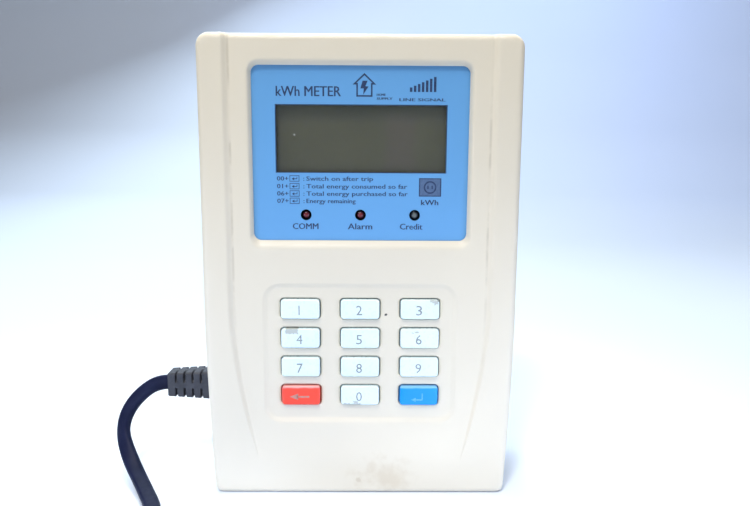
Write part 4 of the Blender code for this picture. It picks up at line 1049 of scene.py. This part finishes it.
def filled(points, y):
    """A thin filled shape from its outline's (x, z) points, which its middle can see all round."""
    outline = np.array([*points, points[0]], dtype=float)
    return drawn_together(at_depth([outline, outline], np.array([[y - PRINT / 2], [y + PRINT / 2]])))


def bar(x0, z0, x1, z1, width, y):
    """A thin straight stroke between two points."""
    along = unit(np.array((x1 - x0, z1 - z0)))
    side = np.array((-along[1], along[0])) * width / 2
    a, b = np.array((x0, z0)), np.array((x1, z1))
    return filled((a - side, b - side, b + side, a + side), y)


def hoop(outer, inner, y):
    """A thin closed line between two outlines with the same number of points."""
    outer, inner = (np.array([*points, points[0]], dtype=float) for points in (outer, inner))
    levels = np.array([[y - PRINT / 2], [y - PRINT / 2], [y + PRINT / 2], [y + PRINT / 2], [y - PRINT / 2]])
    return at_depth([outer, inner, inner, outer, outer], levels)


legend, arrow_print, enter_print = (
    two_tone(name, colour, tones, cloud, (900,), (0.38, 0.52), Roughness=0.45)
    for name, colour, tones, cloud in (
        ("grey_key_print", (0.22, 0.25, 0.26), ((0.18, 0.21, 0.22), (0.30, 0.33, 0.34)), (1600, 4)),
        ("worn_arrow_print", (0.50, 0.24, 0.19), ((0.62, 0.20, 0.15), (0.42, 0.30, 0.25)), (1500, 4)),
        ("pale_enter_print", (0.10, 0.40, 0.80), ((0.06, 0.36, 0.80), (0.20, 0.48, 0.86)), (1500, 4)),
    )
)
legend_y = KEY_FACE_Y
for name, (x, z) in key_places.items():
    body = "key_" + name
    if name == "delete":
        grids = [
            filled(((x - 0.0038, z - 0.0004), (x - 0.0010, z - 0.0015), (x - 0.0010, z + 0.0007)), legend_y),
            bar(x - 0.0014, z - 0.0004, x + 0.0028, z - 0.0004, 0.0006, legend_y),
        ]
        build(body + "_legend", grids, arrow_print, body)
    elif name == "enter":
        grids = [
            filled(((x - 0.0026, z - 0.0014), (x - 0.0010, z - 0.0021), (x - 0.0010, z - 0.0007)), legend_y),
            bar(x - 0.0012, z - 0.0014, x + 0.0014, z - 0.0014, 0.00042, legend_y),
            bar(x + 0.0012, z - 0.0014, x + 0.0012, z + 0.0009, 0.00042, legend_y),
        ]
        build(body + "_legend", grids, enter_print, body)
    else:
        half = 0.00018 if name == "1" else 0.00100
        words = lettering([(name, x - 0.0003 - half, x - 0.0003 + half, z - 0.0019, 0.0032)], legend_y)
        place(body + "_legend", words, legend, body)


# ---- The window -------------------------------------------------------------------------------
# A blue film printed in navy, with an opening for the display and a hole for each lamp. It lies on
# a clear acrylic plate, and both sit behind the case's window.

FILM_LOW, FILM_HIGH, PLATE_LOW, PLATE_HIGH = -0.0157, -0.0153, -0.0150, -0.0136
SHEET_HALF_WIDTH, SHEET_LOW_Z, SHEET_HIGH_Z = 0.0373, 0.0859, 0.1465
DISPLAY, OPENING = (0.0002, 0.1212), (0.0552, 0.0214)
LAMP_XS, LAMP_Z, LAMP_HOLE = {"comm": -0.0179, "alarm": 0.0, "credit": 0.0179}, 0.0965, 0.0018


def window_sheet(front, back, opening):
    """A sheet in blocks. Three have a lamp's round hole; opening leaves the display's blocks out."""
    left, right = DISPLAY[0] - OPENING[0] / 2, DISPLAY[0] + OPENING[0] / 2
    low, high = DISPLAY[1] - OPENING[1] / 2, DISPLAY[1] + OPENING[1] / 2
    us = spaced(
        -SHEET_HALF_WIDTH, 5, left, 3, -0.0209, 12, -0.0149, 6, -0.0030, 12, 0.0030, 6, 0.0149, 12, 0.0209,
        3, right, 5, SHEET_HALF_WIDTH,
    )
    vs = spaced(SHEET_LOW_Z, 4, 0.0935, 12, 0.0995, 5, low, 9, high, 7, SHEET_HIGH_Z)
    columns, levels = (0, 5, 8, 20, 26, 38, 44, 56, 59, 64), (0, 4, 16, 21, 30, 37)
    grids = []
    for i in range(9):
        for j in range(5):
            block_us, block_vs = us[columns[i] : columns[i + 1] + 1], vs[levels[j] : levels[j + 1] + 1]
            if j == 1 and i in (2, 4, 6):
                block = edge_of(block_us, block_vs)
                middle = ((block_us[0] + block_us[-1]) / 2, LAMP_Z)
                hole = outlined((2 * LAMP_HOLE, 2 * LAMP_HOLE), LAMP_HOLE, (12, 12), 6, middle)
                ring = offset(hole, (0.0,))[0]
                rows = [*blended(block, ring, 3), *blended(ring, block, 3)]
                grids.append(at_depth(rows, np.array([[front]] * 4 + [[back]] * 4)))
            elif not (opening and j == 3 and 1 <= i <= 7):
                points = np.stack(np.meshgrid(block_us, block_vs), axis=-1)
                grids += [at_depth(points, front), at_depth(points, back)]
    rim = edge_of(us, vs)
    grids.append(at_depth([rim, rim], np.array([[front], [back]])))
    if opening:
        rim = edge_of(us[5:60], vs[21:31])
        grids.append(at_depth([rim, rim], np.array([[front], [back]])))
    return grids


film_look, tree = new_look("blue_printed_film", (0.150, 0.400, 0.840), Roughness=0.3, Coat_Weight=0.10)
cloud = ranged(tree, grain(tree, 25, 1), 0, 1, 0.2, 0.8, smooth=True)
wire_up(
    tree, mixed(tree, cloud, (0.122, 0.340, 0.640), (0.130, 0.352, 0.658)),
    ranged(tree, grain(tree, 90, 1), 0.31, 0.34, 0.2, 0.8),
)
build(
    "blue_film", window_sheet(FILM_LOW, FILM_HIGH, True), film_look,
    stands_for=("printed_film",),
)
acrylic = two_tone(
    "clear_acrylic", (0.80, 0.86, 0.88), ((0.76, 0.82, 0.86), (0.84, 0.88, 0.90)),
    (90, 3), (90, 1), (0.09, 0.12), Roughness=0.08, Alpha=0.035, IOR=1.49,
)
build(
    "clear_plate", window_sheet(PLATE_LOW, PLATE_HIGH, False), acrylic,
    stands_for=("display_window",),
)


# ---- The print on the film --------------------------------------------------------------------
# Screen-printed in navy ink: a heading, two plain pictograms, the key sequences for four readings, and a name
# under each lamp. A thin dark navy line also runs round the display's opening.

ink_y = FILM_LOW - 0.000008
ink = two_tone(
    "navy_ink", (0.016, 0.032, 0.095), ((0.012, 0.026, 0.080), (0.030, 0.055, 0.135)),
    (1500, 4), (900,), (0.34, 0.5), Roughness=0.4,
)
words = lettering(
    (
        ("kWh METER", -0.0272, -0.0064, 0.1347, 0.0031),
        ("HOME", 0.0052, 0.0080, 0.1349, 0.0007),
        ("SUPPLY", 0.0052, 0.0102, 0.1337, 0.0007),
        ("LINE SIGNAL", 0.0125, 0.0273, 0.1333, 0.0009),
        ("kWh", 0.0200, 0.0256, 0.0999, 0.0017),
        ("COMM", -0.0223, -0.0139, 0.0918, 0.0019),
        ("Alarm", -0.0041, 0.0039, 0.0918, 0.0019),
        ("Credit", 0.0131, 0.0205, 0.0918, 0.0019),
    ),
    ink_y,
    0.00014,
)
place("printed_names", words, ink, "case")
readings = (
    ("00", 0.1077, "Switch on after trip", 0.0041),
    ("01", 0.1052, "Total energy consumed so far", 0.0153),
    ("06", 0.1028, "Total energy purchased so far", 0.0155),
    ("07", 0.1004, "Energy remaining", -0.0016),
)
rows, grids = [], []
for code, z, said, right in readings:
    rows.append((code + "+", -0.0273, -0.0236, z, 0.0014))
    rows.append((":", -0.0187, -0.0184, z, 0.0014))
    rows.append((said, -0.0177, right, z, 0.0014))
    box = np.array(((-0.0232, -0.0003), (-0.0200, -0.0003), (-0.0200, 0.0017), (-0.0232, 0.0017))) + (0, z)
    grids.append(hoop(box, box - 0.0002 * np.sign(box - box.mean(axis=0)), ink_y))
    grids.append(filled(((-0.0225, z + 0.0006), (-0.0217, z + 0.0001), (-0.0217, z + 0.0011)), ink_y))
    grids.append(bar(-0.0219, z + 0.0006, -0.0208, z + 0.0006, 0.00022, ink_y))
    grids.append(bar(-0.0208, z + 0.0005, -0.0208, z + 0.0012, 0.00022, ink_y))
place("printed_readings", lettering(rows, ink_y, 0.00010), ink, "case")

# A thin dark navy line round the display's opening, and a house with a spark in it.
u, v = OPENING[0] / 2, OPENING[1] / 2
corners = np.array(((-u, -v), (u, -v), (u, v), (-u, v))) + DISPLAY
grids.append(hoop(corners + 0.00025 * np.sign(corners - DISPLAY), corners, ink_y))
house = np.array((
    (-0.0026, -0.0034), (0.0026, -0.0034), (0.0026, 0.0004), (0.0038, 0.0004), (0.0, 0.0040),
    (-0.0038, 0.0004), (-0.0026, 0.0004),
))
within = np.array((
    (-0.0021, -0.0029), (0.0021, -0.0029), (0.0021, 0.0009), (0.0026, 0.0009), (0.0, 0.0033),
    (-0.0026, 0.0009), (-0.0021, 0.0009),
))
bolt = np.array((
    (-0.0004, -0.0024), (0.0013, 0.0002), (0.0003, 0.0003), (0.0010, 0.0020), (-0.0006, 0.0020),
    (-0.0013, -0.0004), (-0.0002, -0.0004),
))
grids.append(hoop(house + (0.0012, 0.1380), within + (0.0012, 0.1380), ink_y))
grids.append(filled(bolt + (0.0012, 0.1376), ink_y))
# Bars that grow from left to right.
for i in range(7):
    x = 0.0162 + 0.00128 * i
    grids.append(bar(x, 0.1362, x, 0.1376 + 0.00055 * i, 0.0008, ink_y))
# A plug's face in a square frame.
outer = np.array(((0.0192, 0.1027), (0.0265, 0.1027), (0.0265, 0.1087), (0.0192, 0.1087)))
middle = outer.mean(axis=0)
grids.append(hoop(outer, middle + (outer - middle) * 0.90, ink_y))
angle = np.linspace(0, 2 * np.pi, 33)[:-1]
ring = np.stack((np.cos(angle), np.sin(angle)), axis=1)
grids.append(hoop(middle + 0.0021 * ring, middle + 0.0016 * ring, ink_y))
for side in (-1, 1):
    x = middle[0] + side * 0.0007
    grids.append(bar(x, middle[1] - 0.0005, x, middle[1] + 0.0006, 0.0005, ink_y))
build("printed_marks", grids, ink)
tint = two_tone(
    "blue_grey_ink", (0.075, 0.130, 0.240), ((0.065, 0.115, 0.220), (0.090, 0.150, 0.270)),
    (1200, 3), (900,), (0.34, 0.5), Roughness=0.4,
)
square = filled(middle + (outer - middle) * 0.95, FILM_LOW - 0.000004)
build("printed_square", [square], tint)


# ---- The display ------------------------------------------------------------------------------
# A liquid crystal glass with nothing shown, olive grey through its polariser, in a black frame.

crystal, tree = new_look(
    "olive_display_glass", (0.040, 0.038, 0.009), Roughness=0.16, Specular_IOR_Level=0.25
)
cloudy = mixed(tree, ranged(tree, grain(tree, 45, 2), 0, 1), (0.037, 0.035, 0.007), (0.044, 0.041, 0.010))
# A faint brownish reflection painted on the right-hand part of the glass, mixed in at half strength.
painted_reflection = box_spot(tree, (0.0085, 0.1115), (0.0180, 0.1290), 160, 0.003, 0.0022)
dot = spot(tree, (-0.0219, -0.0123, 0.1227), (0.0004, 0.01, 0.0004), 900, 0.4)
shade = mixed(tree, reckon(tree, "MULTIPLY", painted_reflection, 0.5), cloudy, (0.062, 0.043, 0.030))
shade = mixed(tree, dot, shade, (0.40, 0.40, 0.34))
wire_up(tree, shade, ranged(tree, grain(tree, 60, 1), 0.15, 0.19))
black_abs = two_tone(
    "black_abs", (0.012, 0.013, 0.018), ((0.010, 0.011, 0.016), (0.022, 0.023, 0.028)),
    (300,), (900, 3), (0.40, 0.60), ((3000, 2), 0.15, 0.00004), Roughness=0.5,
)
frosted = two_tone(
    "frosted_light_guide", (0.72, 0.76, 0.70), ((0.68, 0.72, 0.66), (0.78, 0.80, 0.74)),
    (200,), (1200, 3), (0.42, 0.62), Roughness=0.5,
)


def refinish(look, *names):
    """Gives CAD nodes a look in place of their own."""
    for name in names:
        for place_for in nodes[name].material_slots:
            place_for.material = look


refinish(crystal, "display_glass")
refinish(black_abs, "display_frame")
refinish(frosted, "display_backlight")


# ---- The lamps --------------------------------------------------------------------------------
# Three unlit 3 mm lamps: domed epoxy lenses, two tinted dark red and one clear, on thin legs.

LAMP_TIP_Y, LAMP_RADIUS, BOARD_Y = -0.0153, 0.0015, -0.0071


def lamp_lens(x):
    """A half round dome turned about the lamp's axis, then its barrel, its rim and a flat back."""
    dome = np.radians(np.linspace(0, 90, 12))
    depth = np.concatenate((LAMP_RADIUS * (1 - np.cos(dome)), (0.0043, 0.0043, 0.0053, 0.0053)))
    radius = np.concatenate((LAMP_RADIUS * np.sin(dome), (LAMP_RADIUS, 0.00185, 0.00185, 0.0)))
    return turned(np.stack((depth, radius), axis=1), 40)[..., [1, 0, 2]] + (x, LAMP_TIP_Y, LAMP_Z)


def leg(x):
    """A square leg from the lamp's back to the board."""
    corner = np.array(((-1, -1), (1, -1), (1, 1), (-1, 1), (-1, -1))) * 0.00025 + (x, LAMP_Z)
    return drawn_together(at_depth([corner, corner], np.array([[LAMP_TIP_Y + 0.0050], [BOARD_Y]])))


def lens_look(name, middle, rim):
    """A tinted lens, darker towards its rim: partly the deeper tint where more epoxy is looked through,
    partly painted shade from the hole round it.
    """
    look, tree = new_look(name, middle, Roughness=0.12)
    at, pitch = metres_on(tree), LAMP_XS["credit"]
    # The lamps stand a pitch apart, so a point's distance along x is counted afresh at each.
    turns = reckon(tree, "ADD", reckon(tree, "DIVIDE", at["X"], pitch), 2.5)
    x = reckon(tree, "MULTIPLY", reckon(tree, "SUBTRACT", reckon(tree, "FRACT", turns), 0.5), pitch)
    z = reckon(tree, "ABSOLUTE", reckon(tree, "SUBTRACT", at["Z"], LAMP_Z))
    square = reckon(tree, "ADD", reckon(tree, "POWER", x, 2.0), reckon(tree, "POWER", z, 2.0))
    away = reckon(tree, "SQRT", square)
    away = reckon(tree, "ADD", away, reckon(tree, "MULTIPLY", grain(tree, 900, 2), 0.0003))
    # Painted shade from the film's hole, together with the deeper tint, darkens the lens towards its rim.
    rim_shade = ranged(tree, away, 0, 1, 0.0005, 0.0015, smooth=True)
    wire_up(tree, mixed(tree, rim_shade, middle, rim), ranged(tree, grain(tree, 700), 0.08, 0.18))
    return look


# Each lens's second colour is its rim, darkened partly by painted shade.
red_lens = lens_look("dark_red_lens", (0.17, 0.020, 0.026), (0.016, 0.008, 0.018))
grey_lens = lens_look("clear_grey_lens", (0.115, 0.135, 0.130), (0.020, 0.026, 0.040))
for name, x in LAMP_XS.items():
    look, slot = (grey_lens, "lamp_grey") if name == "credit" else (red_lens, "lamp_red")
    build("lamp_lens_" + name, [lamp_lens(x)], look, stands_for=("led_" + name,))
    build("lamp_legs_" + name, [leg(x - 0.001), leg(x + 0.001)], steel)


# ---- Inside the case --------------------------------------------------------------------------
# A rubber keypad mat, and a circuit board with the supply, the power-line modem and the buzzer.


def moulded(name, dark, light, rough, **sockets):
    """A look for a small part, with a fine uneven gloss."""
    return two_tone(
        name, light, (dark, light), (400,), (1100, 3), (rough - 0.08, rough + 0.08),
        ((2600, 2), 0.12, 0.00004), **sockets,
    )


refinish(
    moulded("grey_silicone", (0.115, 0.118, 0.118), (0.145, 0.150, 0.150), 0.62),
    "keypad_mat", "display_contact_strip",
)
refinish(
    moulded("bright_steel", (0.55, 0.55, 0.54), (0.66, 0.66, 0.66), 0.34, Metallic=1.0),
    "backup_battery", "timing_crystal", "board_screw_1", "board_screw_2", "board_screw_3", "board_screw_4",
)
refinish(
    moulded("moulded_epoxy", (0.014, 0.014, 0.016), (0.026, 0.026, 0.030), 0.5),
    "buzzer", "controller_chip", "coupling_transformer", "memory_chip", "modem_chip", "rectifier_bridge",
    "voltage_regulator",
)
refinish(
    moulded("yellow_film_capacitor", (0.56, 0.36, 0.030), (0.68, 0.45, 0.045), 0.3),
    "coupling_capacitor", "filter_capacitor",
)
refinish(
    moulded("blue_sleeve", (0.008, 0.030, 0.28), (0.014, 0.045, 0.38), 0.32),
    "smoothing_capacitor", "surge_arrester",
)
refinish(moulded("green_terminal", (0.010, 0.13, 0.035), (0.016, 0.17, 0.050), 0.42), "mains_terminal")
refinish(moulded("white_ceramic", (0.60, 0.57, 0.48), (0.68, 0.65, 0.57), 0.3), "mains_fuse")
refinish(moulded("brown_insulation", (0.060, 0.022, 0.008), (0.085, 0.032, 0.012), 0.4), "live_wire")
refinish(moulded("blue_insulation", (0.008, 0.045, 0.26), (0.012, 0.060, 0.34), 0.4), "neutral_wire")
refinish(moulded("yellow_tape", (0.50, 0.28, 0.015), (0.62, 0.37, 0.025), 0.28), "transformer_winding")

# Solder mask with paler tracks under it, and iron in thin laminations.
mask, tree = new_look("green_solder_mask", (0.008, 0.070, 0.022), Roughness=0.3)
tracks = ranged(tree, grain(tree, 260, 0, (1, 1, 6)), 0, 1, 0.54, 0.57)
crossing = ranged(tree, grain(tree, 260, 0, (6, 1, 1)), 0, 1, 0.56, 0.59)
tracks = reckon(tree, "MAXIMUM", tracks, crossing)
wire_up(
    tree, mixed(tree, tracks, (0.006, 0.060, 0.020), (0.014, 0.120, 0.040)),
    ranged(tree, grain(tree, 900), 0.24, 0.36), tracks, 0.2, 0.00003,
)
refinish(mask, "main_board")
iron, tree = new_look("laminated_iron", (0.11, 0.11, 0.115), Metallic=0.8, Roughness=0.5)
layers = tree.nodes.new("ShaderNodeTexWave")
layers.bands_direction = "Y"
layers.inputs["Scale"].default_value = 320.0
coords = tree.nodes.new("ShaderNodeTexCoord")
tree.links.new(coords.outputs["Object"], layers.inputs["Vector"])
wire_up(
    tree, mixed(tree, layers.outputs["Fac"], (0.07, 0.07, 0.075), (0.16, 0.16, 0.165)),
    ranged(tree, grain(tree, 900), 0.42, 0.6), layers.outputs["Fac"], 0.3, 0.00006,
)
refinish(iron, "transformer_core")


# ---- The floor and the light ------------------------------------------------------------------
# A plain pale floor that curves up into a backdrop, a pale sky, and eight soft lights.

FLOOR_Z = 0.0
# The floor's side view, as (y, height above the floor).
sweep = np.array([
    (-1.60, 0.0), (-0.60, 0.0), (0.30, 0.0), (0.60, 0.012), (0.85, 0.06), (1.05, 0.18), (1.17, 0.36),
    (1.22, 0.62), (1.23, 1.60),
])
x, along = np.meshgrid(np.linspace(-2.2, 2.2, 23), np.arange(len(sweep)))
grid = np.stack((x, sweep[along, 0], sweep[along, 1] + FLOOR_Z), axis=-1)
backdrop = bpy.data.meshes.new("pale_floor")
index = np.arange(x.size).reshape(x.shape)
faces = np.stack((index[:-1, :-1], index[:-1, 1:], index[1:, 1:], index[1:, :-1]), axis=-1).reshape(-1, 4)
backdrop.from_pydata(grid.reshape(-1, 3).tolist(), [], faces.tolist())
backdrop.shade_smooth()
paper, tree = new_look("pale_paper", (0.80, 0.86, 0.97), Roughness=0.8)
wire_up(tree, mixed(tree, ranged(tree, grain(tree, 3), 0, 1), (0.79, 0.85, 0.95), (0.82, 0.87, 0.96)))
backdrop.materials.append(paper)
floor = bpy.data.objects.new("pale_floor", backdrop)
bpy.context.scene.collection.objects.link(floor)
floor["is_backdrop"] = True

bpy.context.scene.view_settings.view_transform = "Standard"
sky = bpy.data.worlds.new("pale_sky")
bpy.context.scene.world = sky
sky.use_nodes = True
sky.node_tree.nodes["Background"].inputs["Color"].default_value = (0.93, 0.95, 1.0, 1.0)
sky.node_tree.nodes["Background"].inputs["Strength"].default_value = 0.20


def soft_light(name, at, towards, size, power, colour, spread=180):
    """A square light that faces a point; spread is the angle of its beam in degrees."""
    light = bpy.data.lights.new(name, "AREA")
    light.size, light.energy, light.color, light.spread = size, power, colour, np.radians(spread)
    holder = bpy.data.objects.new(name, light)
    holder.location = at
    holder.rotation_euler = (Vector(towards) - Vector(at)).to_track_quat("-Z", "Y").to_euler()
    holder.visible_camera = False
    bpy.context.scene.collection.objects.link(holder)


soft_light("light_above", (-0.08, -0.26, 0.85), (0, -0.10, 0.0), 0.34, 2.1, (1.0, 0.99, 0.95))
soft_light("light_key", (-0.13, -0.43, 0.70), (0, -0.02, 0.11), 0.11, 3.1, (1.0, 0.985, 0.93))
soft_light("light_low_left", (-0.24, -0.22, 0.03), (0, -0.02, -0.02), 0.08, 0.092, (0.53, 0.68, 1.0), 60)
soft_light("light_low_right", (0.24, -0.22, 0.03), (0, -0.02, -0.02), 0.08, 0.092, (0.53, 0.68, 1.0), 60)
soft_light("light_behind", (-0.30, 0.60, 0.72), (0.05, 0.3, 0.1), 0.80, 7.0, (0.72, 0.86, 1.0))
soft_light("light_right", (0.30, 0.26, 0.62), (0.06, 0.02, 0.05), 0.30, 1.0, (0.90, 0.96, 1.0))
soft_light("light_top", (-0.02, 0.03, 0.75), (-0.02, 0.0, 0.154), 0.12, 0.10, (1.0, 1.0, 1.0), 40)
soft_light("light_backdrop", (0.25, 0.45, 0.95), (0.55, 1.25, 0.55), 0.40, 2.2, (0.42, 0.58, 1.0), 110)


# ---- The box ----------------------------------------------------------------------------------
# This model's box: the bounds of every shown piece, the floor left out.

low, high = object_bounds()
